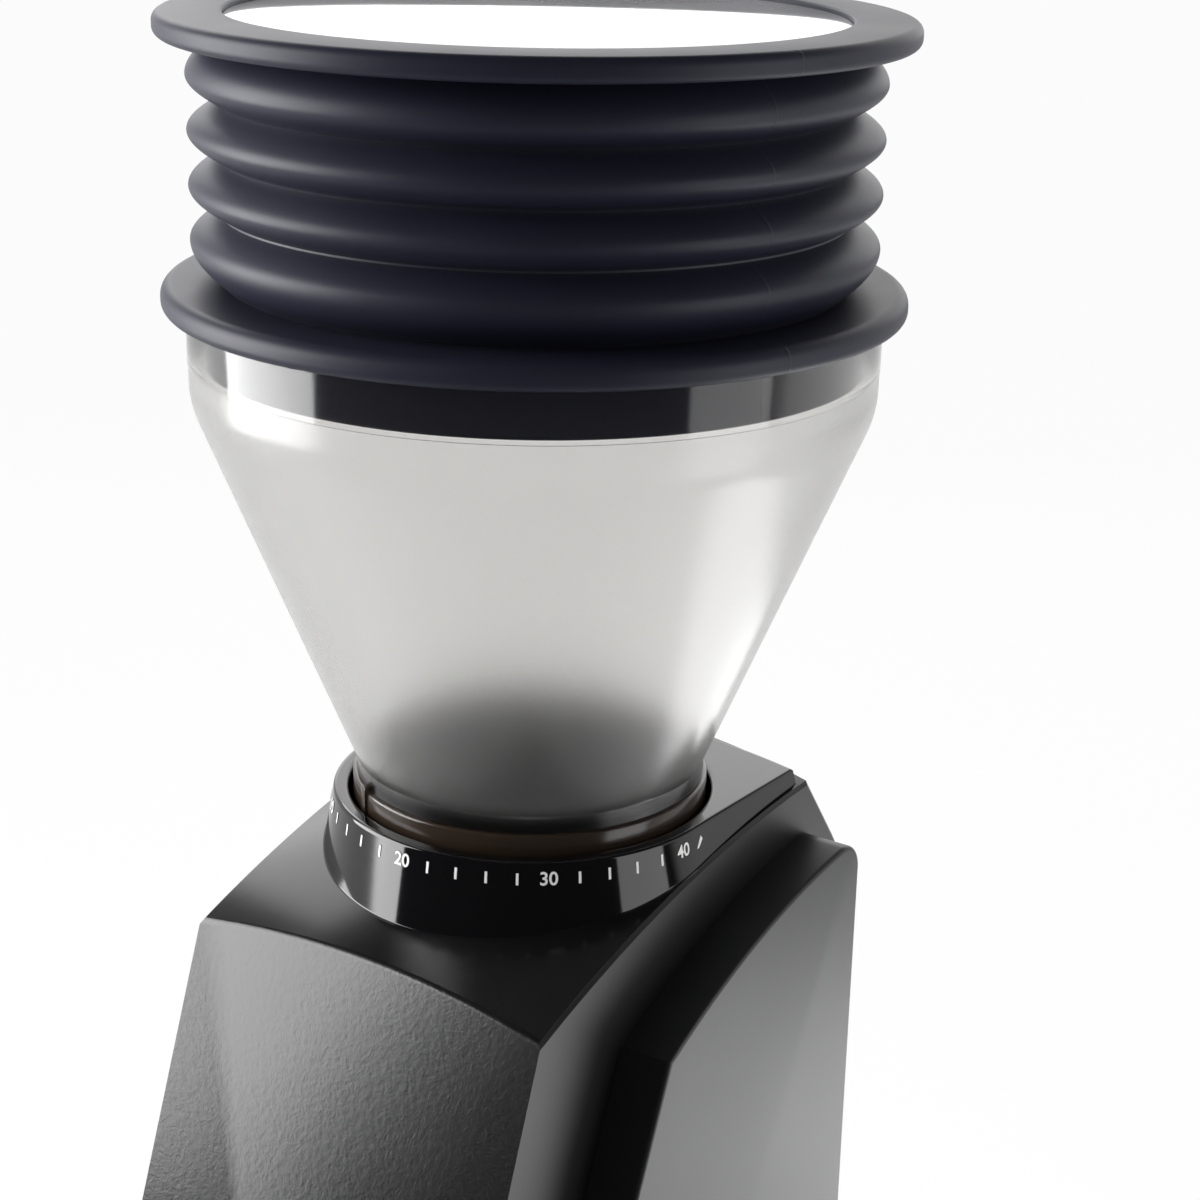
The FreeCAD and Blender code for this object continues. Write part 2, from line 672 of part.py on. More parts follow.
def power_knob():
    """Turn knob with a raised grip bar, on its shaft."""
    face = OUTER_X + SLIDE
    disc = cylinder(KNOB_R, face, face + KNOB_T)
    half_l = KNOB_R - 1
    half_w = KNOB_GRIP_W / 2
    end = face + KNOB_T + KNOB_GRIP_H
    grip = block(-half_l, half_l, -half_w, half_w, face, end).common(cylinder(half_l, face, end))
    shaft = cylinder(KNOB_SHAFT_R, HALF_W - WALL - ROTARY_DEPTH / 2, face)
    return across_right(fused([disc, grip, shaft]))


def rotary_switch():
    """Switch body on the inside of the right wall, bored for the knob's shaft."""
    outer_x = HALF_W - WALL
    body = cylinder(ROTARY_R, outer_x - ROTARY_DEPTH, outer_x)
    bore = cylinder(KNOB_SHAFT_R + RUN, outer_x - ROTARY_DEPTH / 2 - SLIDE, outer_x + 1)
    return across_right(body.cut(bore))


def control_board():
    """Circuit board on four standoffs, with a row of capacitors."""
    x0 = -(HALF_W - WALL) + BOARD_STANDOFF
    board = block(x0, x0 + BOARD_T, BOARD_Y[0], BOARD_Y[1], BOARD_Z[0], BOARD_Z[1])
    parts = [board]
    z = BOARD_Z[0] + CAPACITOR_R + STANDOFF_INSET
    while z < BOARD_Z[1] - CAPACITOR_R:
        y = BOARD_Y[0] + CAPACITOR_R + 1
        parts.append(Part.makeCylinder(CAPACITOR_R, CAPACITOR_H + BOARD_T, V(x0, y, z), RIGHT))
        z += 3 * CAPACITOR_R
    return fused(parts)


def hopper():
    """Funnel with an upright band at the top and a stepped neck."""
    wall = HOPPER_WALL
    slope = math.atan2(HOPPER_TURN_Z - HOPPER_FOOT_Z, HOPPER_TURN_R - HOPPER_FOOT_R)
    side = wall / math.sin(slope)
    neck_in = NECK_R - wall
    rise = (HOPPER_TURN_Z - HOPPER_FOOT_Z) / (HOPPER_TURN_R - HOPPER_FOOT_R)
    funnel_z = HOPPER_FOOT_Z + (neck_in - (HOPPER_FOOT_R - side)) * rise
    bend_r = HOPPER_R - (HOPPER_R - HOPPER_TURN_R) * 0.35
    bend_z = (HOPPER_TURN_Z + HOPPER_BAND_Z) / 2
    outer_bend = arc(V(HOPPER_TURN_R, 0, HOPPER_TURN_Z), V(bend_r, 0, bend_z), V(HOPPER_R, 0, HOPPER_BAND_Z))
    inner_bend = arc(V(HOPPER_R - wall, 0, HOPPER_BAND_Z), V(bend_r - wall, 0, bend_z),
                     V(HOPPER_TURN_R - side, 0, HOPPER_TURN_Z))
    lower = [(neck_in, NECK_Z), (NECK_R, NECK_Z), (NECK_R, HOPPER_LIP_Z)]
    lower += [(HOPPER_FOOT_R, HOPPER_LIP_Z), (HOPPER_FOOT_R, HOPPER_FOOT_Z), (HOPPER_TURN_R, HOPPER_TURN_Z)]
    upper = [(HOPPER_R, HOPPER_BAND_Z), (HOPPER_R, HOPPER_TOP_Z), (HOPPER_R - wall, HOPPER_TOP_Z)]
    upper += [(HOPPER_R - wall, HOPPER_BAND_Z)]
    inner = [(HOPPER_TURN_R - side, HOPPER_TURN_Z), (neck_in, funnel_z), (neck_in, NECK_Z)]
    edges = []
    for run, bend in ((lower, outer_bend), (upper, inner_bend), (inner, None)):
        points = [V(r, 0, z) for r, z in run]
        edges += [line(a, b) for a, b in zip(points[:-1], points[1:])]
        if bend:
            edges.append(bend)
    return revolved(edges)


def hopper_neck_ring():
    """Ring round the neck, with the index tab that points at the scale."""
    ring = tube(NECK_RING_R, NECK_R + FIT, NECK_RING_Z, HOPPER_LIP_Z)
    reach = COLLAR_BORE_R - SLIDE
    tab = block(-INDEX_W / 2, INDEX_W / 2, -reach, -(HOPPER_FOOT_R + FIT), NECK_RING_Z, INDEX_TOP_Z)
    tab.rotate(V(0, 0, 0), UP, math.degrees(INDEX_ANGLE))
    return fused([ring, tab])


def rounded_disc(radius, z0, thickness, round_r):
    """Disc whose rim is rounded top and bottom in two flats each."""
    half = thickness / 2
    turn = min(round_r, half)
    near = turn * (1 - math.cos(math.pi / 4))
    low = [(0, z0), (radius - turn, z0), (radius - near, z0 + near), (radius, z0 + turn)]
    high = [(r, 2 * z0 + thickness - z) for r, z in reversed(low)]
    corners = low + (high if turn < half else high[1:])
    return revolved(corners)


def bellows_base():
    """Bottom flange of the bellows, with a plug that seats inside the hopper's rim."""
    flange = rounded_disc(FLANGE_R, FLANGE_Z, FLANGE_T, FLANGE_ROUND)
    plug = cylinder(PLUG_R, FLANGE_Z - PLUG_DEPTH, FLANGE_Z + FLANGE_T)
    bore_r = min(PLUG_R - PLUG_WALL, FOLD_CREST_R - FOLD_DEPTH - FOLD_WALL)
    return fused([flange, plug]).cut(cylinder(bore_r, FLANGE_Z - PLUG_DEPTH - 1, FOLDS_Z + 1))


def fold_corners(inset):
    """Outline (radius, z) of the folds from bottom to top: valley, shoulder, crest and shoulder each."""
    crest_r = FOLD_CREST_R - inset
    valley_r = crest_r - FOLD_DEPTH
    shoulder_r = crest_r - FOLD_DEPTH * FOLD_SHOULDER
    crests = [FOLDS_Z + FOLD_FIRST_RISE + FOLD_PITCH * i for i in range(FOLD_COUNT)]
    valleys = [FOLDS_Z] + [z + FOLD_PITCH / 2 for z in crests[:-1]] + [RIM_Z]
    corners = []
    for i, crest in enumerate(crests):
        low = valleys[i] + (crest - valleys[i]) * FOLD_SHOULDER
        high = valleys[i + 1] - (valleys[i + 1] - crest) * FOLD_SHOULDER
        corners += [(valley_r, valleys[i]), (shoulder_r, low), (crest_r, crest), (shoulder_r, high)]
    return corners + [(valley_r, RIM_Z)]


def bellows_folds():
    """Four round folds of even wall, as one convoluted sleeve."""
    return revolved(fold_corners(0) + list(reversed(fold_corners(FOLD_WALL))))


def bellows_rim():
    """Top flange with a ledge for the window."""
    rim = rounded_disc(RIM_R, RIM_Z, RIM_T, FLANGE_ROUND)
    seat_z = RIM_Z + RIM_T - WINDOW_RECESS - WINDOW_T
    rim = rim.cut(cylinder(WINDOW_R + FIT, seat_z, RIM_Z + RIM_T + 1))
    return rim.cut(cylinder(WINDOW_R - WINDOW_LEDGE, RIM_Z - 1, RIM_Z + RIM_T + 1))


def bellows_window():
    """Clear disc that lies on the rim's ledge."""
    seat_z = RIM_Z + RIM_T - WINDOW_RECESS - WINDOW_T
    return cylinder(WINDOW_R, seat_z, seat_z + WINDOW_T)


def cone_radius(z):
    """Radius of the cone burr's flank at a height."""
    flank = CONE_H - CONE_SKIRT_H
    return CONE_R - max(0.0, z - CONE_Z - CONE_SKIRT_H) * (CONE_R - CONE_TOP_R) / flank


def cone_burr():
    """Driven burr: cone with slanted feed grooves cut into its flank."""
    top = CONE_Z + CONE_H
    bore = SHAFT_R + FIT
    profile = [(bore, CONE_Z), (CONE_R, CONE_Z), (CONE_R, CONE_Z + CONE_SKIRT_H)]
    profile += [(CONE_TOP_R, top), (bore, top)]
    solid = revolved(profile)
    lean = math.degrees(math.atan2(CONE_R - CONE_TOP_R, CONE_H - CONE_SKIRT_H))
    width = math.pi * CONE_R / CONE_TEETH
    knife = Part.makeBox(2 * TOOTH_DEPTH, width, 2 * CONE_H, V(-TOOTH_DEPTH, 0, -CONE_H))
    knife.rotate(V(0, 0, 0), RIGHT, 20)
    knife.rotate(V(0, 0, 0), V(0, 1, 0), -lean)
    middle = CONE_Z + CONE_SKIRT_H + CONE_H / 3
    knife.translate(V(cone_radius(middle), 0, middle))
    for cutter in polar(knife, CONE_TEETH):
        solid = solid.cut(cutter)
    return solid


def ring_burr():
    """Still burr: ring with a grinding throat below and an open mouth above, toothed inside."""
    top = RING_Z + RING_H
    nip = RING_Z + RING_NIP_H
    throat = cone_radius(nip) + RING_GAP
    profile = [(RING_R, RING_Z), (RING_R, top), (RING_MOUTH_R, top), (throat, nip)]
    nip_r = cone_radius(CONE_Z) + RING_GAP
    profile += [(nip_r, CONE_Z + CONE_SKIRT_H), (nip_r, RING_Z)]
    solid = revolved(profile)
    width = math.pi * RING_MOUTH_R / RING_TEETH
    knife = Part.makeBox(TOOTH_DEPTH, width, RING_H, V(RING_MOUTH_R - TOOTH_DEPTH / 2, -width / 2, nip))
    for cutter in polar(knife, RING_TEETH):
        solid = solid.cut(cutter)
    return solid


def burr_carrier():
    """Cup that holds the ring burr on a lip and lifts it inside the adjust ring."""
    top = RING_Z + RING_H + CARRIER_RISE
    cup = tube(CARRIER_R, RING_R + FIT, RING_Z, top)
    lip = tube(CARRIER_R, RING_R - CARRIER_LIP, CARRIER_Z, RING_Z)
    return fused([cup, lip])


def ring_burr_gasket():
    """Soft ring on top of the ring burr."""
    top = RING_Z + RING_H
    return tube(RING_R, RING_MOUTH_R + TOOTH_DEPTH, top, top + CARRIER_GASKET_T)


def adjust_ring():
    """Ring that the hopper's neck turns; lugs round it count the clicks."""
    ring = tube(ADJUST_R - SLIDE, ADJUST_BORE_R, ADJUST_Z, NECK_Z)
    lug_r = COLLAR_BORE_R - SLIDE
    lug = block(ADJUST_R - 1, lug_r, -ADJUST_LUG_W / 2, ADJUST_LUG_W / 2, ADJUST_Z, ADJUST_Z + ADJUST_LUG_H)
    return fused([ring] + polar(lug.common(cylinder(lug_r, ADJUST_Z, NECK_Z)), ADJUST_LUG_COUNT))


def burr_chamber():
    """Fixed cup round the burrs, with an outlet in front."""
    floor_z = CHAMBER_Z + CHAMBER_FLOOR_T
    cup = cylinder(CHAMBER_R, CHAMBER_Z, CHAMBER_TOP_Z)
    cup = cup.cut(cylinder(CHAMBER_BORE_R, floor_z, CHAMBER_TOP_Z + 1))
    cup = cup.cut(cylinder(BUSH_R + FIT, CHAMBER_Z - 1, floor_z + 1))
    half = OUTLET_HALF_W
    cup = cup.cut(block(-half, half, -CHAMBER_R - 1, 0, floor_z, floor_z + OUTLET_H))
    for x, y in chamber_screw_places():
        cup = cup.cut(cylinder(SCREW_HEAD_R + SLIDE, floor_z, CHAMBER_TOP_Z - SCREW_HEAD_H * 2, x, y))
        cup = cup.cut(cylinder(SCREW_R + FIT, CHAMBER_Z - 1, floor_z + 1, x, y))
    return cup


def chamber_screws():
    """Screws that hold the chamber and the gearbox cover."""
    head_z = CHAMBER_Z + CHAMBER_FLOOR_T + SCREW_HEAD_H
    reach = CHAMBER_FLOOR_T + COVER_T
    return Part.makeCompound([screw(x, y, head_z, reach, -1) for x, y in chamber_screw_places()])


def grounds_chute():
    """Bent duct from the chamber's outlet down to the bin."""
    floor_z = CHAMBER_Z + CHAMBER_FLOOR_T
    roof_z = floor_z + OUTLET_H
    foot_z = BAY_TOP_Z + WALL
    wall = CHUTE_WALL
    half = OUTLET_HALF_W + wall
    bend_z = roof_z - CHUTE_BEND_DROP
    outer = [(0, roof_z + wall), (CHUTE_ROOF_Y, roof_z + wall), (CHUTE_FRONT_Y, bend_z + wall)]
    outer += [(CHUTE_FRONT_Y, foot_z), (CHUTE_BACK_Y, foot_z)]
    outer += [(CHUTE_BACK_Y, floor_z - wall), (0, floor_z - wall)]
    inner = [(0, roof_z), (CHUTE_ROOF_Y + wall / 2, roof_z), (CHUTE_FRONT_Y + wall, bend_z)]
    inner += [(CHUTE_FRONT_Y + wall, foot_z - 1), (CHUTE_BACK_Y - wall, foot_z - 1)]
    inner += [(CHUTE_BACK_Y - wall, floor_z), (0, floor_z)]
    duct = side_prism(outer, -half, half).cut(side_prism(inner, -OUTLET_HALF_W, OUTLET_HALF_W))
    return duct.cut(cylinder(CHAMBER_R + FIT, CHAMBER_Z - SLIDE, CHAMBER_TOP_Z))


def paddle_wheel():
    """Sweeper under the burrs that pushes the grounds to the outlet."""
    plate = cylinder(PADDLE_R, PADDLE_Z, PADDLE_Z + PADDLE_PLATE_T)
    hub = cylinder(PADDLE_HUB_R, PADDLE_Z, PADDLE_Z + PADDLE_H)
    half = PADDLE_BLADE_W / 2
    blade = block(PADDLE_HUB_R - 1, PADDLE_R - 1, -half, half, PADDLE_Z, PADDLE_Z + PADDLE_H)
    wheel = fused([plate, hub] + polar(blade, PADDLE_COUNT))
    return wheel.cut(cylinder(SHAFT_R + FIT, PADDLE_Z - 1, PADDLE_Z + PADDLE_H + 1))


def drive_shaft():
    """Burr shaft, stepped under the cone burr."""
    low = GEARBOX_Z + GEARBOX_FLOOR
    main = cylinder(SHAFT_R, low, SHAFT_TOP_Z)
    shoulder_z = PADDLE_Z + PADDLE_H
    shoulder = cylinder(PADDLE_HUB_R, shoulder_z, CONE_Z)
    bore = cylinder(BOLT_SHANK_R + FIT, SHAFT_TOP_Z - BOLT_SHANK_L - 1, SHAFT_TOP_Z + 1)
    return fused([main, shoulder]).cut(bore)


def burr_bolt():
    """Hex bolt that clamps the cone burr on the shaft."""
    corners = []
    for i in range(6):
        angle = math.radians(60 * i)
        corners.append(V(BOLT_HEAD_R * math.cos(angle), BOLT_HEAD_R * math.sin(angle), SHAFT_TOP_Z))
    head = Part.Face(polygon_wire(corners)).extrude(V(0, 0, BOLT_HEAD_H))
    return fused([head, cylinder(BOLT_SHANK_R, SHAFT_TOP_Z - BOLT_SHANK_L, SHAFT_TOP_Z)])


def shaft_bushes():
    """Plain bushes below and above the main gear."""
    low = GEARBOX_Z + GEARBOX_FLOOR
    spans = [(low, low + BUSH_L), (GEARBOX_TOP_Z, CHAMBER_Z + CHAMBER_FLOOR_T)]
    return Part.makeCompound([tube(BUSH_R, SHAFT_R + RUN, z0, z1) for z0, z1 in spans])


def gear(teeth, module, z0, thickness, turn):
    """Spur gear blank with involute flanks; one tooth points along the turn angle (radians)."""
    pitch_r = module * teeth / 2
    base_r = pitch_r * math.cos(PRESSURE_ANGLE)
    tip_r = pitch_r + module
    root_r = pitch_r - 1.25 * module
    involute = math.tan(PRESSURE_ANGLE) - PRESSURE_ANGLE
    half = math.pi / (2 * teeth) - BACKLASH / (4 * pitch_r) + involute
    low_r = max(base_r, root_r)
    points = []
    for i in range(teeth):
        centre = turn + 2 * math.pi * i / teeth
        flank = []
        for step in range(4):
            r = low_r + (tip_r - low_r) * step / 3
            alpha = math.acos(base_r / r)
            flank.append((r, half - (math.tan(alpha) - alpha)))
        if root_r < low_r:
            flank.insert(0, (root_r, flank[0][1]))
        left = [(r, centre - a) for r, a in flank]
        right = [(r, centre + a) for r, a in reversed(flank)]
        points += [V(r * math.cos(a), r * math.sin(a), z0) for r, a in left + right]
    return Part.Face(polygon_wire(points)).extrude(V(0, 0, thickness))


def main_gear():
    """Large gear on the burr shaft, lightened by a ring of holes."""
    toward_idler = math.atan2(IDLER_Y, IDLER_X)
    blank = gear(MAIN_TEETH, MAIN_MODULE, MAIN_GEAR_Z, MAIN_GEAR_T, toward_idler)
    top = MAIN_GEAR_Z + MAIN_GEAR_T
    hub = cylinder(MAIN_HUB_R, MAIN_GEAR_Z, top + MAIN_HUB_H)
    middle = (MAIN_HUB_R + MAIN_PITCH_R) / 2
    holes = polar(cylinder(MAIN_HOLE_R, MAIN_GEAR_Z - 1, top + 1, middle, 0), MAIN_HOLES)
    solid = fused([blank, hub])
    for hole in holes:
        solid = solid.cut(hole)
    return solid.cut(cylinder(SHAFT_R + FIT, MAIN_GEAR_Z - 1, top + MAIN_HUB_H + 1))


def idler_gear():
    """Two-step gear: the large step takes the motor's pinion, the small one drives the main gear."""
    toward_main = math.atan2(IDLER_Y, IDLER_X) + math.pi
    small_turn = toward_main + math.pi / SMALL_TEETH
    top = MAIN_GEAR_Z + MAIN_GEAR_T
    low = LARGE_GEAR_Z + LARGE_GEAR_T
    small = gear(SMALL_TEETH, MAIN_MODULE, low, top - low, small_turn)
    large = gear(LARGE_TEETH, MOTOR_MODULE, LARGE_GEAR_Z, LARGE_GEAR_T, math.pi)
    solid = fused([small, large]).cut(cylinder(IDLER_PIN_R + RUN, LARGE_GEAR_Z - 1, top + 1))
    solid.translate(V(IDLER_X, IDLER_Y, 0))
    return solid


def idler_pin():
    """Fixed pin that the idler turns on."""
    return cylinder(IDLER_PIN_R, GEARBOX_Z + GEARBOX_FLOOR, GEARBOX_TOP_Z, IDLER_X, IDLER_Y)


def gearbox_outline(grow, z0, z1):
    """Room round the gears, grown by a wall."""
    main_r = MAIN_PITCH_R + MAIN_MODULE + GEAR_CLEAR + grow
    idler_r = LARGE_PITCH_R + MOTOR_MODULE + GEAR_CLEAR + grow
    pinion_r = BUSH_R + grow
    rooms = [cylinder(main_r, z0, z1), cylinder(idler_r, z0, z1, IDLER_X, IDLER_Y)]
    rooms.append(cylinder(pinion_r, z0, z1, 0, MOTOR_Y))
    rooms.append(block(0, IDLER_X, 0, IDLER_Y + pinion_r, z0, z1))
    return fused(rooms)


def gearbox_body():
    """Tray that holds the gears, with a bush boss and an idler boss on its floor."""
    floor_z = GEARBOX_Z + GEARBOX_FLOOR
    tray = gearbox_outline(GEARBOX_WALL, GEARBOX_Z, GEARBOX_TOP_Z)
    tray = tray.cut(gearbox_outline(0, floor_z, GEARBOX_TOP_Z + 1))
    bush_boss = tube(BUSH_R + BUSH_BOSS_WALL, BUSH_R + FIT, floor_z, floor_z + BUSH_L)
    boss_r = IDLER_PIN_R + BUSH_BOSS_WALL
    idler_boss = tube(boss_r, IDLER_PIN_R + FIT, floor_z, LARGE_GEAR_Z - SEAT, IDLER_X, IDLER_Y)
    wings = []
    for side in (-1, 1):
        x0, x1 = sorted((side * (HALF_W - WALL - SLIDE), 0.0))
        wings.append(block(x0, x1, -BOSS_R, BOSS_R, GEARBOX_Z, floor_z))
    tray = fused([tray, bush_boss, idler_boss] + wings)
    return tray.cut(cylinder(MOTOR_NOSE_R + FIT, GEARBOX_Z - 1, floor_z + 1, 0, MOTOR_Y))


def gearbox_cover():
    """Plate that closes the gearbox and carries the burr chamber."""
    plate = gearbox_outline(GEARBOX_WALL, GEARBOX_TOP_Z, CHAMBER_Z)
    plate = fused([plate, cylinder(CHAMBER_R, GEARBOX_TOP_Z, CHAMBER_Z)])
    plate = plate.cut(cylinder(BUSH_R + FIT, GEARBOX_TOP_Z - 1, CHAMBER_Z + 1))
    for x, y in chamber_screw_places():
        plate = plate.cut(cylinder(SCREW_R + FIT, GEARBOX_TOP_Z - 1, CHAMBER_Z + 1, x, y))
    return plate


def motor():
    """Motor can with end bands and a nose that centres it in the gearbox floor."""
    top = GEARBOX_Z
    low = top - MOTOR_H
    can = cylinder(MOTOR_R - MOTOR_STEP, low, top, 0, MOTOR_Y)
    band_low = cylinder(MOTOR_R, low + MOTOR_BAND_T, low + 3 * MOTOR_BAND_T, 0, MOTOR_Y)
    band_top = cylinder(MOTOR_R, top - 2 * MOTOR_BAND_T, top, 0, MOTOR_Y)
    nose = cylinder(MOTOR_NOSE_R, top, top + GEARBOX_FLOOR, 0, MOTOR_Y)
    bore = cylinder(MOTOR_SHAFT_R + RUN, low + 2 * MOTOR_BAND_T, top + GEARBOX_FLOOR + 1, 0, MOTOR_Y)
    return fused([can, band_low, band_top, nose]).cut(bore)


def motor_shaft():
    """Motor's shaft, up into the pinion."""
    low = GEARBOX_Z - MOTOR_H + 2 * MOTOR_BAND_T + SEAT
    return cylinder(MOTOR_SHAFT_R, low, LARGE_GEAR_Z + LARGE_GEAR_T, 0, MOTOR_Y)


def motor_pinion():
    """Pinion on the motor's shaft, in mesh with the idler."""
    turn = math.pi / PINION_TEETH
    pinion = gear(PINION_TEETH, MOTOR_MODULE, LARGE_GEAR_Z, LARGE_GEAR_T, turn)
    pinion.translate(V(0, MOTOR_Y, 0))
    top = LARGE_GEAR_Z + LARGE_GEAR_T
    return pinion.cut(cylinder(MOTOR_SHAFT_R + FIT, LARGE_GEAR_Z - 1, top + 1, 0, MOTOR_Y))


NODES = {
    "main_housing": main_housing,
    "left_side_panel": lambda: side_panel(-1),
    "right_side_panel": lambda: side_panel(1),
    "base_plate": base_plate,
    "rubber_feet": rubber_feet,
    "base_screws": base_screws,
    "scale_collar": scale_collar,
    "cord_gland": cord_gland,
    "grounds_bin": grounds_bin,
    "pulse_button": pulse_button,
    "pulse_switch": pulse_switch,
    "power_knob": power_knob,
    "rotary_switch": rotary_switch,
    "control_board": control_board,
    "hopper": hopper,
    "hopper_neck_ring": hopper_neck_ring,
    "bellows_base": bellows_base,
    "bellows_folds": bellows_folds,
    "bellows_rim": bellows_rim,
    "bellows_window": bellows_window,
    "cone_burr": cone_burr,
    "ring_burr": ring_burr,
    "burr_carrier": burr_carrier,
    "ring_burr_gasket": ring_burr_gasket,
    "adjust_ring": adjust_ring,
    "burr_chamber": burr_chamber,
    "chamber_screws": chamber_screws,
    "grounds_chute": grounds_chute,
    "paddle_wheel": paddle_wheel,
    "drive_shaft": drive_shaft,
    "burr_bolt": burr_bolt,
    "shaft_bushes": shaft_bushes,
    "main_gear": main_gear,
    "idler_gear": idler_gear,
    "idler_pin": idler_pin,
    "gearbox_body": gearbox_body,
    "gearbox_cover": gearbox_cover,
    "motor": motor,
    "motor_shaft": motor_shaft,
    "motor_pinion": motor_pinion,
}


def main():
    """Build every piece and write it to its own file."""
    os.makedirs("parts", exist_ok=True)
    for name, build in NODES.items():
        shape = build()
        shape.exportStep("parts/" + name + ".step")
        print(name, "solids", len(shape.Solids), "valid", shape.isValid(), "volume", round(shape.Volume))


main()
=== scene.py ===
"""Looks of a burr coffee grinder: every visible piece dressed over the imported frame.

Lengths are written in millimetres and turned to metres where a mesh is made. The front of the
grinder faces -Y, its right side +X, and the burr axis stands at x = y = 0.
"""

import logging
import math
from dataclasses import dataclass
from enum import Enum
from typing import Callable, ClassVar, Iterable, Optional, Sequence, Union

import bmesh
import bpy
from mathutils import Matrix, Vector


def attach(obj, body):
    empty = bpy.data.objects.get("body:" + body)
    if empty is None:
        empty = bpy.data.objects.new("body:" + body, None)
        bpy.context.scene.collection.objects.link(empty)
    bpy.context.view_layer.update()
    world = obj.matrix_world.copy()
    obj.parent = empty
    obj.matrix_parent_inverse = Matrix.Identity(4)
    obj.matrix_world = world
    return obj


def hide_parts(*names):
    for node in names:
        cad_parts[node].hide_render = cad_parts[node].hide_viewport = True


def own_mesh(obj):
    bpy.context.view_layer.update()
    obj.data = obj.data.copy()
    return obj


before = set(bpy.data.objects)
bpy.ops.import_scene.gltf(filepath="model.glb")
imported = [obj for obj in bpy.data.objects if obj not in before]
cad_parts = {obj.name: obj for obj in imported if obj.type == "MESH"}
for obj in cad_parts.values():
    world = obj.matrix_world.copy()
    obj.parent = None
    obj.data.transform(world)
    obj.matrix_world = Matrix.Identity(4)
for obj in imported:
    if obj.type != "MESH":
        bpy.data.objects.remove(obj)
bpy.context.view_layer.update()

LOG = logging.getLogger("grinder")
MM = 0.001
# Angle in degrees from which an edge stays sharp, unless a piece says otherwise
SHARP = 34.0
# Distance in metres within which a point lies on the burr axis
ON_AXIS = 1e-9

Colour = tuple[float, float, float]
Tone = tuple[float, float, float, float]
Corner = tuple[float, float, float]
Point = tuple[float, float]
Feed = Union[bpy.types.NodeSocket, float, int, bool, str, Sequence[float], bpy.types.Material]


class Body(Enum):
    """Bodies of the frame that pieces ride on."""

    HOUSING = "housing"
    HOPPER = "hopper_set"
    BELLOWS = "bellows_set"
    BELLOWS_TOP = "bellows_top"
    BIN = "bin"
    PULSE = "pulse"
    POWER = "power"


class Bench:
    """A node tree with short ways to add, feed and chain its nodes."""

    def __init__(self, tree: bpy.types.NodeTree) -> None:
        """Work on one tree.

        Args:
            tree: Shader, world or geometry tree to add nodes to.
        """
        self.tree = tree

    def feed(self, slot: bpy.types.NodeSocket, value: Feed) -> None:
        """Link a socket to a slot, or set the slot's own value."""
        if isinstance(value, bpy.types.NodeSocket):
            self.tree.links.new(value, slot)
        else:
            slot.default_value = value

    def add(self, kind: str, inputs: Optional[dict[str, Feed]] = None,
            **settings: object) -> bpy.types.Node:
        """Add a node.

        Args:
            kind: The node's type name.
            inputs: Values or sockets by input name.
            settings: Properties of the node itself.

        Returns:
            The new node.
        """
        node = self.tree.nodes.new(kind)
        for name, value in settings.items():
            setattr(node, name, value)
        for name, value in (inputs or {}).items():
            self.feed(node.inputs[name], value)
        return node

    def math(self, operation: str, *values: Feed, clamp: bool = False) -> bpy.types.NodeSocket:
        """Add a math node.

        Args:
            operation: Blender's name of the operation.
            values: Numbers or sockets in order.
            clamp: Keep the result between 0 and 1.

        Returns:
            The result's socket.
        """
        node = self.add("ShaderNodeMath", operation=operation, use_clamp=clamp)
        for slot, value in zip(node.inputs, values):
            self.feed(slot, value)
        return node.outputs[0]

    def ramp(self, value: Feed, low: float, high: float) -> bpy.types.NodeSocket:
        """Smooth step of a value from 0 at low to 1 at high."""
        node = self.add("ShaderNodeMapRange", {"Value": value, "From Min": low, "From Max": high},
                        interpolation_type="SMOOTHSTEP")
        return node.outputs["Result"]

    def mix(self, factor: Feed, first: Feed, second: Feed) -> bpy.types.NodeSocket:
        """Blend two colours by a factor and give the result's socket."""
        node = self.add("ShaderNodeMix", data_type="RGBA")
        for index, value in ((0, factor), (6, first), (7, second)):
            self.feed(node.inputs[index], value)
        return node.outputs[2]

    def group(self, tree: bpy.types.NodeTree, **inputs: Feed) -> bpy.types.Node:
        """Place a node group; underscores in the input names stand for spaces."""
        node = self.add("ShaderNodeGroup", node_tree=tree)
        for name, value in inputs.items():
            self.feed(node.inputs[name.replace("_", " ")], value)
        return node

    def close_tree(self, gout: bpy.types.Node, shape: Feed, surface: Feed) -> None:
        """End a geometry tree in plain, dressed geometry.

        Args:
            gout: The tree's output node.
            shape: Geometry to put out.
            surface: Its material.
        """
        whole = self.add("GeometryNodeRealizeInstances", {"Geometry": shape})
        coat = self.add("GeometryNodeSetMaterial", {"Geometry": whole.outputs[0], "Material": surface})
        self.feed(gout.inputs["Geometry"], coat.outputs[0])


def new_group(name: str, kind: str, inputs: Sequence[tuple[str, str, object]],
              outputs: Sequence[tuple[str, str]]) -> tuple[Bench, bpy.types.Node, bpy.types.Node]:
    """Start a node group with named sockets.

    Args:
        name: Name of the group.
        kind: "ShaderNodeTree" or "GeometryNodeTree".
        inputs: Name, socket type and default of each input.
        outputs: Name and socket type of each output.

    Returns:
        The group's bench, its input node and its output node.
    """
    tree = bpy.data.node_groups.new(name, kind)
    for label, socket, default in inputs:
        item = tree.interface.new_socket(label, in_out="INPUT", socket_type=socket)
        if default is not None:
            item.default_value = default
    for label, socket in outputs:
        tree.interface.new_socket(label, in_out="OUTPUT", socket_type=socket)
    bench = Bench(tree)
    return bench, bench.add("NodeGroupInput"), bench.add("NodeGroupOutput")


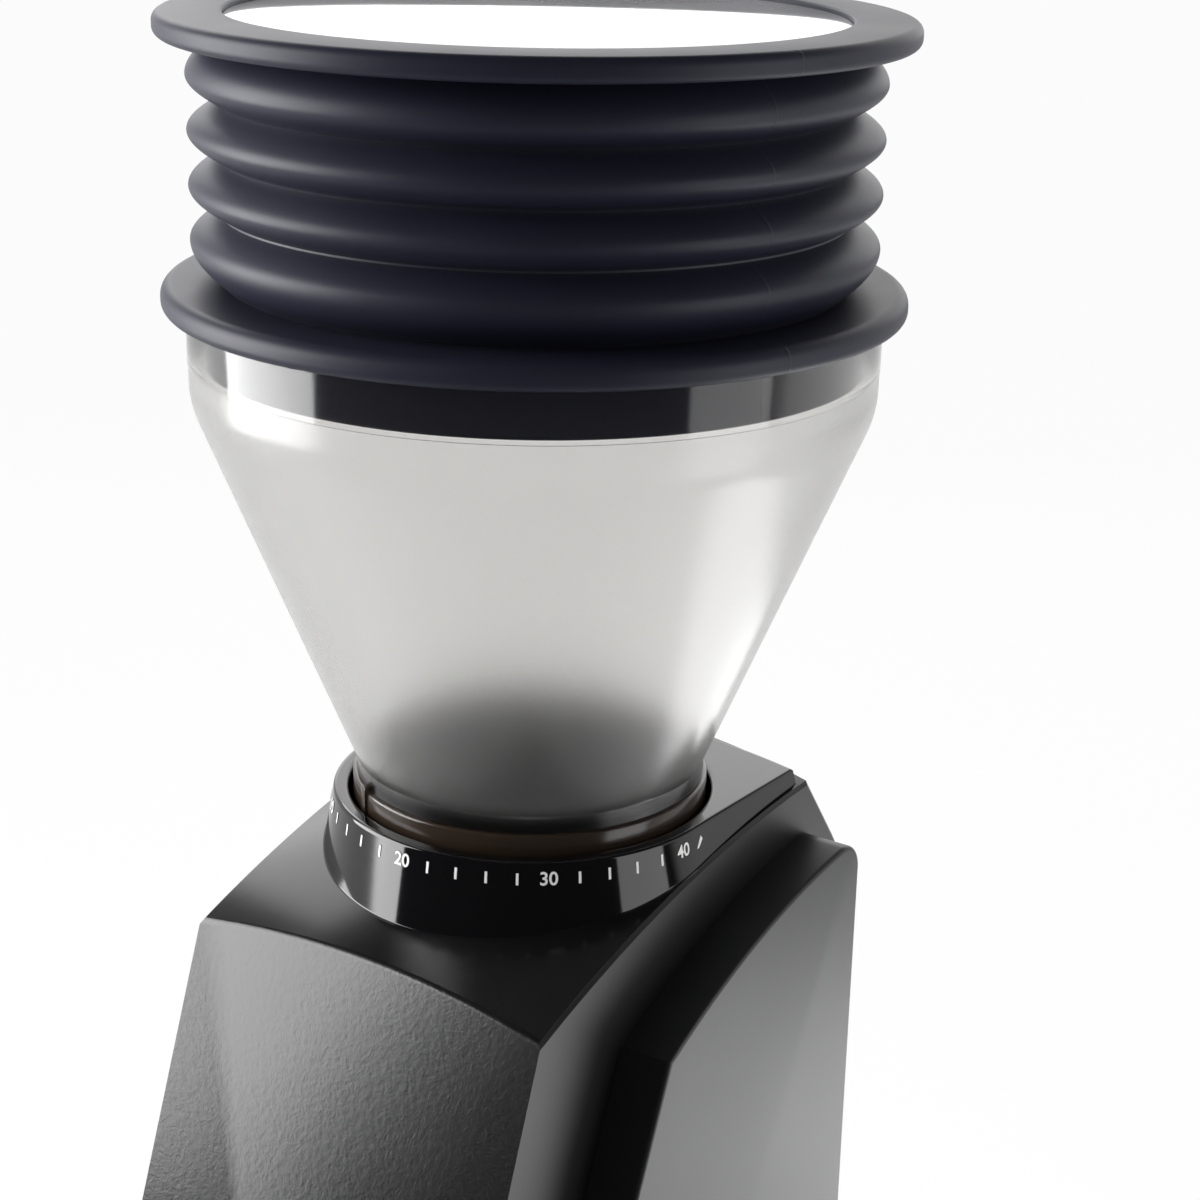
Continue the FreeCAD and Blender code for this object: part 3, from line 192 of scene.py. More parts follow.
class Effects:
    """Shader groups that several finishes share, each built once."""

    _made: dict[str, bpy.types.NodeTree] = {}

    @classmethod
    def _once(cls, name: str, build: Callable[[str], bpy.types.NodeTree]) -> bpy.types.NodeTree:
        """Build a group the first time it is asked for."""
        if name not in cls._made:
            cls._made[name] = build(name)
        return cls._made[name]

    @classmethod
    def moulded_grain(cls) -> bpy.types.NodeTree:
        """Wrinkled mould texture: a height and a cloudy variation from the place on the piece."""
        return cls._once("moulded_grain", cls._build_grain)

    @staticmethod
    def _build_grain(name: str) -> bpy.types.NodeTree:
        """Build the mould texture.

        Args:
            name: Name of the group.

        Returns:
            The group, with Size and Cloud Size in metres.
        """
        floats = [("Size", "NodeSocketFloat", 0.001), ("Cloud Size", "NodeSocketFloat", 0.02)]
        bench, gin, gout = new_group(name, "ShaderNodeTree", floats,
                                     [("Height", "NodeSocketFloat"), ("Cloud", "NodeSocketFloat")])
        place = bench.add("ShaderNodeTexCoord").outputs["Object"]
        scale = bench.math("DIVIDE", 1.0, gin.outputs["Size"])
        wrinkle = bench.add("ShaderNodeTexNoise", {"Vector": place, "Scale": scale, "Detail": 2.0,
                                                   "Roughness": 0.55, "Distortion": 1.4})
        coarse = bench.math("MULTIPLY", scale, 0.8)
        cells = bench.add("ShaderNodeTexVoronoi", {"Vector": place, "Scale": coarse, "Smoothness": 0.6},
                          feature="SMOOTH_F1")
        height = bench.math("ADD", bench.math("MULTIPLY", wrinkle.outputs["Fac"], 0.65),
                            bench.math("MULTIPLY", cells.outputs["Distance"], 0.35))
        broad = bench.math("DIVIDE", 1.0, gin.outputs["Cloud Size"])
        cloud = bench.add("ShaderNodeTexNoise", {"Vector": place, "Scale": broad, "Detail": 3.0})
        bench.feed(gout.inputs["Height"], height)
        bench.feed(gout.inputs["Cloud"], cloud.outputs["Fac"])
        return bench.tree

    @classmethod
    def height_band(cls) -> bpy.types.NodeTree:
        """Mask of the part of a piece between two heights."""
        return cls._once("height_band", cls._build_band)

    @staticmethod
    def _build_band(name: str) -> bpy.types.NodeTree:
        """Build the band mask.

        Args:
            name: Name of the group.

        Returns:
            The group, with Low, High and Soft in metres.
        """
        floats = [("Low", "NodeSocketFloat", 0.0), ("High", "NodeSocketFloat", 1.0),
                  ("Soft", "NodeSocketFloat", 0.001)]
        bench, gin, gout = new_group(name, "ShaderNodeTree", floats, [("Mask", "NodeSocketFloat")])
        place = bench.add("ShaderNodeTexCoord").outputs["Object"]
        z = bench.add("ShaderNodeSeparateXYZ", {"Vector": place}).outputs["Z"]
        soft = gin.outputs["Soft"]
        above = bench.math("DIVIDE", bench.math("SUBTRACT", z, gin.outputs["Low"]), soft, clamp=True)
        below = bench.math("DIVIDE", bench.math("SUBTRACT", gin.outputs["High"], z), soft, clamp=True)
        bench.feed(gout.inputs["Mask"], bench.math("MULTIPLY", above, below))
        return bench.tree

    @classmethod
    def parting_line(cls) -> bpy.types.NodeTree:
        """Mask of a thin upright mould seam at one angle round the burr axis."""
        return cls._once("parting_line", cls._build_seam)

    @staticmethod
    def _build_seam(name: str) -> bpy.types.NodeTree:
        """Build the seam mask.

        Args:
            name: Name of the group.

        Returns:
            The group, with Angle in radians from the front and Width in metres.
        """
        floats = [("Angle", "NodeSocketFloat", 0.0), ("Width", "NodeSocketFloat", 0.0004)]
        bench, gin, gout = new_group(name, "ShaderNodeTree", floats, [("Mask", "NodeSocketFloat")])
        place = bench.add("ShaderNodeTexCoord").outputs["Object"]
        axes = bench.add("ShaderNodeSeparateXYZ", {"Vector": place}).outputs
        sine = bench.math("SINE", gin.outputs["Angle"])
        cosine = bench.math("COSINE", gin.outputs["Angle"])
        across = bench.math("ADD", bench.math("MULTIPLY", axes["X"], cosine),
                            bench.math("MULTIPLY", axes["Y"], sine))
        along = bench.math("SUBTRACT", bench.math("MULTIPLY", axes["X"], sine),
                           bench.math("MULTIPLY", axes["Y"], cosine))
        near = bench.math("SUBTRACT", 1.0, bench.math("DIVIDE", bench.math("ABSOLUTE", across),
                                                      gin.outputs["Width"]), clamp=True)
        outward = bench.math("GREATER_THAN", along, 0.0)
        bench.feed(gout.inputs["Mask"], bench.math("MULTIPLY", near, outward))
        return bench.tree


@dataclass(frozen=True)
class Finish:
    """Look of one surface, and the record's slot it belongs to.

    Attributes:
        name: Name of the material.
        slot: Material slot of the record; not used.
        colour: Base colour, linear.
        roughness: Mean roughness.
        spread: How far the roughness drifts over the surface.
        grain: Size of the surface texture in mm.
        depth: Height of the surface texture in mm.
        CLOUD_RATIO: Size of the cloudy variation over that of the texture.
        DARK_SHARE: Share of the colour that its darkest clouds keep.
    """

    name: str
    slot: str
    colour: Colour
    roughness: float
    spread: float = 0.06
    grain: float = 0.6
    depth: float = 0.01

    CLOUD_RATIO: ClassVar[float] = 30.0
    DARK_SHARE: ClassVar[float] = 0.86

    def material(self) -> bpy.types.Material:
        """Give the finish's material, made on first use."""
        found = bpy.data.materials.get(self.name)
        if found is None:
            found = bpy.data.materials.new(self.name)
            found.use_nodes = True
            found.node_tree.nodes.clear()
            bench = Bench(found.node_tree)
            shader = bench.add("ShaderNodeBsdfPrincipled")
            self.shade(bench, shader)
            out = bench.add("ShaderNodeOutputMaterial")
            bench.feed(out.inputs["Surface"], shader.outputs["BSDF"])
        return found

    def shade(self, bench: Bench, shader: bpy.types.Node) -> None:
        """Fill the shader's sockets.

        Args:
            bench: The material's node tree.
            shader: Its Principled BSDF.
        """
        height, cloud = self.texture(bench)
        bench.feed(shader.inputs["Base Color"], self.tone(bench, cloud))
        bench.feed(shader.inputs["Roughness"], self.drift(bench, cloud))
        self.bump(bench, shader, height, self.depth)

    def texture(self, bench: Bench) -> tuple[bpy.types.NodeSocket, bpy.types.NodeSocket]:
        """Place the mould texture and give its height and its clouds."""
        node = bench.group(Effects.moulded_grain(), Size=self.grain * MM,
                           Cloud_Size=self.grain * self.CLOUD_RATIO * MM)
        return node.outputs["Height"], node.outputs["Cloud"]

    def tone(self, bench: Bench, cloud: bpy.types.NodeSocket) -> bpy.types.NodeSocket:
        """Colour that darkens a little with the clouds."""
        dark = tuple(c * self.DARK_SHARE for c in self.colour)
        return bench.mix(cloud, (*dark, 1.0), (*self.colour, 1.0))

    def drift(self, bench: Bench, cloud: bpy.types.NodeSocket) -> bpy.types.NodeSocket:
        """Roughness that drifts with the clouds."""
        swing = bench.math("MULTIPLY", cloud, 2 * self.spread)
        return bench.math("ADD", swing, self.roughness - self.spread)

    @staticmethod
    def bump(bench: Bench, shader: bpy.types.Node, height: bpy.types.NodeSocket, depth: float) -> None:
        """Turn a height into the shader's normal; depth is in mm."""
        node = bench.add("ShaderNodeBump", {"Strength": 1.0, "Distance": depth * MM, "Height": height})
        bench.feed(shader.inputs["Normal"], node.outputs["Normal"])

    def dress(self, piece: bpy.types.Object) -> None:
        """Put the finish on a new piece."""
        piece.data.materials.clear()
        piece.data.materials.append(self.material())


@dataclass(frozen=True)
class GrainedShell(Finish):
    """Moulded shell with a grained front, matt upright sides and satin elsewhere.

    The face attribute "grain" is 1 where the front is grained.

    Attributes:
        smooth_depth: Texture height in mm on the satin faces.
        grain_dulling: Roughness that the grain adds.
        side_dulling: Roughness that the matt sides add.
        SIDE_FROM: Squared sideways share of the normal at which a side starts and is whole.
    """

    smooth_depth: float = 0.003
    grain_dulling: float = 0.06
    side_dulling: float = 0.26

    DARK_SHARE: ClassVar[float] = 0.8
    SIDE_FROM: ClassVar[Point] = (0.8, 0.95)

    def shade(self, bench: Bench, shader: bpy.types.Node) -> None:
        """Fill the shader's sockets.

        Args:
            bench: The material's node tree.
            shader: Its Principled BSDF.
        """
        height, cloud = self.texture(bench)
        mask = bench.add("ShaderNodeAttribute", attribute_name="grain").outputs["Fac"]
        bench.feed(shader.inputs["Base Color"], self.tone(bench, cloud))
        facing = bench.add("ShaderNodeNewGeometry").outputs["True Normal"]
        across = bench.add("ShaderNodeSeparateXYZ", {"Vector": facing}).outputs["X"]
        side = bench.ramp(bench.math("MULTIPLY", across, across), *self.SIDE_FROM)
        added = bench.math("MULTIPLY", mask, self.grain_dulling)
        grained = bench.math("ADD", self.drift(bench, cloud), added)
        matt = bench.math("ADD", grained, bench.math("MULTIPLY", side, self.side_dulling))
        bench.feed(shader.inputs["Roughness"], matt)
        share = self.smooth_depth / self.depth
        relief = bench.math("ADD", bench.math("MULTIPLY", mask, 1.0 - share), share)
        self.bump(bench, shader, bench.math("MULTIPLY", height, relief), self.depth)


@dataclass(frozen=True)
class Silicone(Finish):
    """Soft moulded silicone with a mould seam, paler in the creases and faintly on the seam.

    Attributes:
        seam: Angle of the mould seam in degrees from the front.
        seam_w: Half width of the seam in mm.
        seam_bloom: Share of the pale tint on the seam.
        bloom: Paler colour of the creases.
        relief: Share of the texture in the height, where the seam has 1.
        sheen: Strength of the reflection, where 0.5 is plain plastic.
    """

    seam: float = 74.0
    seam_w: float = 0.35
    seam_bloom: float = 0.25
    bloom: Colour = (0.035, 0.037, 0.048)
    relief: float = 0.1
    sheen: float = 0.3

    CLOUD_RATIO: ClassVar[float] = 40.0
    DARK_SHARE: ClassVar[float] = 0.8

    def shade(self, bench: Bench, shader: bpy.types.Node) -> None:
        """Fill the shader's sockets.

        Args:
            bench: The material's node tree.
            shader: Its Principled BSDF.
        """
        height, cloud = self.texture(bench)
        seam = bench.group(Effects.parting_line(), Angle=math.radians(self.seam),
                           Width=self.seam_w * MM).outputs["Mask"]
        crease = bench.add("ShaderNodeAttribute", attribute_name="crease").outputs["Fac"]
        # Paler colour in the creases and faintly on the seam.
        pale = bench.math("MAXIMUM", crease, bench.math("MULTIPLY", seam, self.seam_bloom))
        body = self.tone(bench, cloud)
        bench.feed(shader.inputs["Base Color"], bench.mix(pale, body, (*self.bloom, 1.0)))
        bench.feed(shader.inputs["Roughness"], self.drift(bench, cloud))
        raised = bench.math("ADD", bench.math("MULTIPLY", height, self.relief), seam)
        self.bump(bench, shader, raised, self.depth)
        shader.inputs["Specular IOR Level"].default_value = self.sheen


@dataclass(frozen=True)
class SmokePlastic(Finish):
    """Clear smoke plastic, frosted apart from a polished band.

    Attributes:
        band: Lowest and highest level of the polished band in mm.
        polish: Roughness of the band.
        haze: Share of the light that the plastic scatters back outside the band, 0 to 1.
        dusk: Levels in mm between which painted shade darkens the plastic downwards,
            where the dark neck shows through.
        dusk_colour: Colour of the painted shade below the lower level.
        BAND_SOFT: Width in mm over which the band's edges fade.
        REFRACTION: Index of refraction of acrylic.
    """

    band: Point = (0.0, 0.0)
    polish: float = 0.05
    haze: float = 0.0
    dusk: Point = (0.0, 0.0)
    dusk_colour: Colour = (0.05, 0.045, 0.04)

    CLOUD_RATIO: ClassVar[float] = 25.0
    DARK_SHARE: ClassVar[float] = 0.96
    BAND_SOFT: ClassVar[float] = 0.2
    REFRACTION: ClassVar[float] = 1.49

    def shade(self, bench: Bench, shader: bpy.types.Node) -> None:
        """Fill the shader's sockets.

        Args:
            bench: The material's node tree.
            shader: Its Principled BSDF.
        """
        height, cloud = self.texture(bench)
        mask = bench.group(Effects.height_band(), Low=self.band[0] * MM, High=self.band[1] * MM,
                           Soft=self.BAND_SOFT * MM).outputs["Mask"]
        unmasked = bench.math("SUBTRACT", 1.0, mask)
        clear = self.tone(bench, cloud)
        # Painted shade: the plastic darkens towards its foot, as if the dark neck showed through.
        if self.dusk[1] > self.dusk[0]:
            place = bench.add("ShaderNodeTexCoord").outputs["Object"]
            z = bench.add("ShaderNodeSeparateXYZ", {"Vector": place}).outputs["Z"]
            shade = bench.ramp(z, self.dusk[0] * MM, self.dusk[1] * MM)
            clear = bench.mix(shade, (*self.dusk_colour, 1.0), clear)
        bench.feed(shader.inputs["Base Color"], clear)
        frosted = bench.math("MULTIPLY", self.drift(bench, cloud), unmasked)
        polished = bench.math("MULTIPLY", mask, self.polish)
        bench.feed(shader.inputs["Roughness"], bench.math("ADD", frosted, polished))
        self.bump(bench, shader, bench.math("MULTIPLY", height, unmasked), self.depth)
        shader.inputs["Transmission Weight"].default_value = 1.0 - self.haze
        if self.band[1] > self.band[0]:
            clearness = bench.math("ADD", bench.math("MULTIPLY", mask, self.haze), 1.0 - self.haze)
            bench.feed(shader.inputs["Transmission Weight"], clearness)
        shader.inputs["IOR"].default_value = self.REFRACTION


@dataclass(frozen=True)
class Metal(Finish):
    """Turned or ground metal with fine tool marks."""

    def shade(self, bench: Bench, shader: bpy.types.Node) -> None:
        """Fill the shader's sockets.

        Args:
            bench: The material's node tree.
            shader: Its Principled BSDF.
        """
        super().shade(bench, shader)
        shader.inputs["Metallic"].default_value = 1.0


class Finishes:
    """All finishes of the grinder."""

    SHELL = GrainedShell("shell_black", "housing_black", (0.0035, 0.0036, 0.004), 0.165, 0.02, 1.0, 0.032)
    CHEEK = Finish("cheek_grey", "panel_grey", (0.011, 0.0114, 0.0126), 0.42, 0.02, 1.0, 0.0015)
    COLLAR = Finish("collar_black", "collar_gloss", (0.003, 0.003, 0.0035), 0.07, 0.02, 1.2, 0.001)
    PRINT = Finish("scale_white", "collar_gloss", (0.86, 0.86, 0.84), 0.5, 0.05, 0.2, 0.002)
    # The hopper darkens with painted shade towards its foot, between the two levels given last.
    HOPPER = SmokePlastic("hopper_frosted", "hopper_smoke", (0.935, 0.928, 0.915), 0.235, 0.02, 1.2, 0.0015,
                          band=(325.75, 340.0), polish=0.09, haze=0.05, dusk=(249.5, 253.5))
    NECK = SmokePlastic("neck_smoke", "neck_amber", (0.12, 0.082, 0.056), 0.16, 0.04, 0.7, 0.004, haze=0.2)
    SILICONE = Silicone("bellows_silicone", "silicone", (0.0165, 0.0178, 0.034), 0.48, 0.03, 0.35, 0.05)
    WINDOW = SmokePlastic("window_clear", "window", (0.95, 0.95, 0.95), 0.06, 0.02, 0.8, 0.001, haze=0.95)
    FOOT = Finish("foot_black", "foot_rubber", (0.02, 0.02, 0.02), 0.7, 0.05, 0.3, 0.01)
    BIN = SmokePlastic("bin_smoke", "bin_smoke", (0.22, 0.21, 0.20), 0.12, 0.03, 0.8, 0.002, haze=0.25)
    BUTTON = Finish("button_black", "button_black", (0.014, 0.014, 0.015), 0.32, 0.03, 0.5, 0.004)
    BURR = Metal("burr_ground", "burr_steel", (0.42, 0.42, 0.43), 0.37, 0.08, 0.4, 0.004)
    STEEL = Metal("steel_turned", "steel", (0.50, 0.50, 0.50), 0.37, 0.08, 0.3, 0.003)
    CAN = Metal("motor_plated", "motor_steel", (0.38, 0.38, 0.39), 0.38, 0.08, 0.6, 0.003)
    BRONZE = Metal("bush_bronze", "bush_bronze", (0.45, 0.30, 0.13), 0.42, 0.06, 0.2, 0.006)
    NYLON = Finish("gear_nylon", "gear_nylon", (0.75, 0.72, 0.63), 0.42, 0.05, 0.5, 0.003)
    INNER = Finish("inner_black", "inner_black", (0.03, 0.03, 0.03), 0.5, 0.05, 0.6, 0.01)
    BOARD = Finish("board_green", "board_green", (0.02, 0.12, 0.05), 0.35, 0.05, 0.6, 0.003)


NODE_FINISH: dict[str, Finish] = {
    "base_plate": Finishes.INNER, "base_screws": Finishes.STEEL, "pulse_switch": Finishes.INNER,
    "rotary_switch": Finishes.INNER, "control_board": Finishes.BOARD, "cone_burr": Finishes.BURR,
    "ring_burr": Finishes.BURR, "burr_carrier": Finishes.INNER, "ring_burr_gasket": Finishes.FOOT,
    "adjust_ring": Finishes.INNER, "burr_chamber": Finishes.INNER, "chamber_screws": Finishes.STEEL,
    "grounds_chute": Finishes.INNER, "paddle_wheel": Finishes.INNER, "drive_shaft": Finishes.STEEL,
    "burr_bolt": Finishes.STEEL, "shaft_bushes": Finishes.BRONZE, "main_gear": Finishes.NYLON,
    "idler_gear": Finishes.NYLON, "idler_pin": Finishes.STEEL, "gearbox_body": Finishes.INNER,
    "gearbox_cover": Finishes.INNER, "motor": Finishes.CAN, "motor_shaft": Finishes.STEEL,
    "motor_pinion": Finishes.STEEL, "cord_gland": Finishes.FOOT,
}


class Shop:
    """Ways of making meshes that the sub-assemblies share."""

    @staticmethod
    def rounded(corners: Iterable[Corner], steps: int = 5) -> list[Point]:
        """Round the corners of a closed outline.

        Args:
            corners: Radius, height and corner radius of each corner in mm.
            steps: Points on each rounded corner, less one.

        Returns:
            Radius and height of each point in mm.
        """
        ring = list(corners)
        points: list[Point] = []
        for i, (r, z, bend) in enumerate(ring):
            here = Vector((r, z))
            back = Vector(ring[i - 1][:2]) - here
            ahead = Vector(ring[(i + 1) % len(ring)][:2]) - here
            if bend <= 0.0 or min(back.length, ahead.length) < 1e-6:
                points.append((r, z))
                continue
            half = back.angle(ahead) / 2
            reach = min(bend / math.tan(half), 0.49 * back.length, 0.49 * ahead.length)
            start = here + back.normalized() * reach
            end = here + ahead.normalized() * reach
            for k in range(steps + 1):
                t = k / steps
                weight = math.sin(half)
                top = start * (1 - t) ** 2 + here * (2 * t * (1 - t) * weight) + end * t ** 2
                low = (1 - t) ** 2 + 2 * t * (1 - t) * weight + t ** 2
                points.append((top.x / low, top.y / low))
        return points

    @staticmethod
    def around(angle: float, r: float, z: float) -> Corner:
        """Place in metres at an angle in radians from the front, a radius and a level in mm."""
        return r * MM * math.sin(angle), -r * MM * math.cos(angle), z * MM

    @staticmethod
    def quarter(steps: int) -> list[float]:
        """Angles in radians of a quarter turn in equal steps."""
        return [math.pi / 2 * k / steps for k in range(steps + 1)]

    @staticmethod
    def turns(segments: int) -> list[float]:
        """Angles in radians of a whole turn in equal steps."""
        return [2 * math.pi * k / segments for k in range(segments)]

    @staticmethod
    def close_columns(shape: bmesh.types.BMesh,
                      columns: Sequence[Sequence[bmesh.types.BMVert]]) -> None:
        """Join columns that stand round the axis into a closed skin.

        Args:
            shape: Mesh of the columns.
            columns: The columns in their order, each a closed outline of as many points.
        """
        for k, column in enumerate(columns):
            after = columns[(k + 1) % len(columns)]
            for i in range(len(column)):
                j = (i + 1) % len(column)
                if max(column[i].co.xy.length, column[j].co.xy.length) > ON_AXIS:
                    shape.faces.new((column[i], after[i], after[j], column[j]))

    @staticmethod
    def lathe(name: str, outline: Sequence[Point], segments: int = 180) -> bpy.types.Object:
        """Turn a closed outline round the burr axis.

        Args:
            name: Name of the piece.
            outline: Radius and height of each point in mm.
            segments: Columns round the axis.

        Returns:
            The piece, with outward faces and its place in its mesh.
        """
        shape = bmesh.new()
        angles = Shop.turns(segments)
        columns = [[shape.verts.new(Shop.around(a, r, z)) for r, z in outline] for a in angles]
        Shop.close_columns(shape, columns)
        return Shop.finish_mesh(name, shape)

    @staticmethod
    def finish_mesh(name: str, shape: bmesh.types.BMesh, sharp: float = SHARP) -> bpy.types.Object:
        """Merge, turn outwards and smooth a mesh, and link it as a piece.

        Args:
            name: Name of the piece.
            shape: The mesh, which is freed.
            sharp: Angle in degrees from which an edge stays sharp.

        Returns:
            The linked piece.
        """
        bmesh.ops.remove_doubles(shape, verts=shape.verts, dist=1e-7)
        bmesh.ops.recalc_face_normals(shape, faces=shape.faces)
        mesh = bpy.data.meshes.new(name)
        shape.to_mesh(mesh)
        shape.free()
        return Shop.link(name, mesh, sharp)

    @staticmethod
    def link(name: str, mesh: bpy.types.Mesh, sharp: float = SHARP) -> bpy.types.Object:
        """Smooth a mesh up to an angle in degrees and link it as a piece."""
        Shop.smooth(mesh, sharp)
        piece = bpy.data.objects.new(name, mesh)
        bpy.context.scene.collection.objects.link(piece)
        return piece

    @staticmethod
    def smooth(mesh: bpy.types.Mesh, sharp: float = SHARP) -> None:
        """Smooth a mesh up to an angle in degrees."""
        mesh.shade_smooth()
        mesh.set_sharp_from_angle(angle=math.radians(sharp))

    @staticmethod
    def bake(piece: bpy.types.Object) -> bpy.types.Mesh:
        """Plain mesh of an object with its modifiers applied."""
        graph = bpy.context.evaluated_depsgraph_get()
        return bpy.data.meshes.new_from_object(piece.evaluated_get(graph), depsgraph=graph)

    @staticmethod
    def skin(node: str, name: str, sharp: float = SHARP) -> bpy.types.Object:
        """Copy a frame node's mesh, merged and smoothed, as a piece that stands for it.

        Args:
            node: Name of the node.
            name: Name of the piece.
            sharp: Angle in degrees from which an edge stays sharp.

        Returns:
            The piece, which replaces the node.
        """
        shape = bmesh.new()
        shape.from_mesh(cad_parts[node].data)
        bmesh.ops.remove_doubles(shape, verts=shape.verts, dist=2e-6)
        mesh = bpy.data.meshes.new(name)
        shape.to_mesh(mesh)
        shape.free()
        if "custom_normal" in mesh.attributes:
            mesh.attributes.remove(mesh.attributes["custom_normal"])
        piece = Shop.link(name, mesh, sharp)
        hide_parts(node)
        return piece

    @staticmethod
    def grow(name: str, tree: bpy.types.NodeTree, values: dict[str, object]) -> bpy.types.Object:
        """Run a geometry tree and keep its result as a plain mesh.

        Args:
            name: Name of the piece.
            tree: Geometry tree with one geometry output.
            values: Values of the tree's named inputs.

        Returns:
            The linked piece, with no modifier left.
        """
        seed = bpy.data.objects.new(name + "_seed", bpy.data.meshes.new(name + "_seed"))
        bpy.context.scene.collection.objects.link(seed)
        modifier = seed.modifiers.new("grow", "NODES")
        modifier.node_group = tree
        for item in tree.interface.items_tree:
            if item.in_out == "INPUT" and item.name in values:
                modifier[item.identifier] = values[item.name]
        mesh = Shop.bake(seed)
        seed.modifiers.remove(modifier)
        bpy.data.objects.remove(seed)
        mesh.name = name
        piece = bpy.data.objects.new(name, mesh)
        bpy.context.scene.collection.objects.link(piece)
        return piece

    @staticmethod
    def settle(piece: bpy.types.Object, finish: Finish, body: Body, *nodes: str) -> None:
        """Dress a piece, let it ride and hide the nodes it stands for.

        Args:
            piece: The finished piece.
            finish: Its surface.
            body: Body that carries it.
            nodes: Frame nodes that it replaces.
        """
        finish.dress(piece)
        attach(piece, body.value)
        if nodes:
            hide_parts(*nodes)
        LOG.info("%s on %s: %d faces", piece.name, body.value, len(piece.data.polygons))


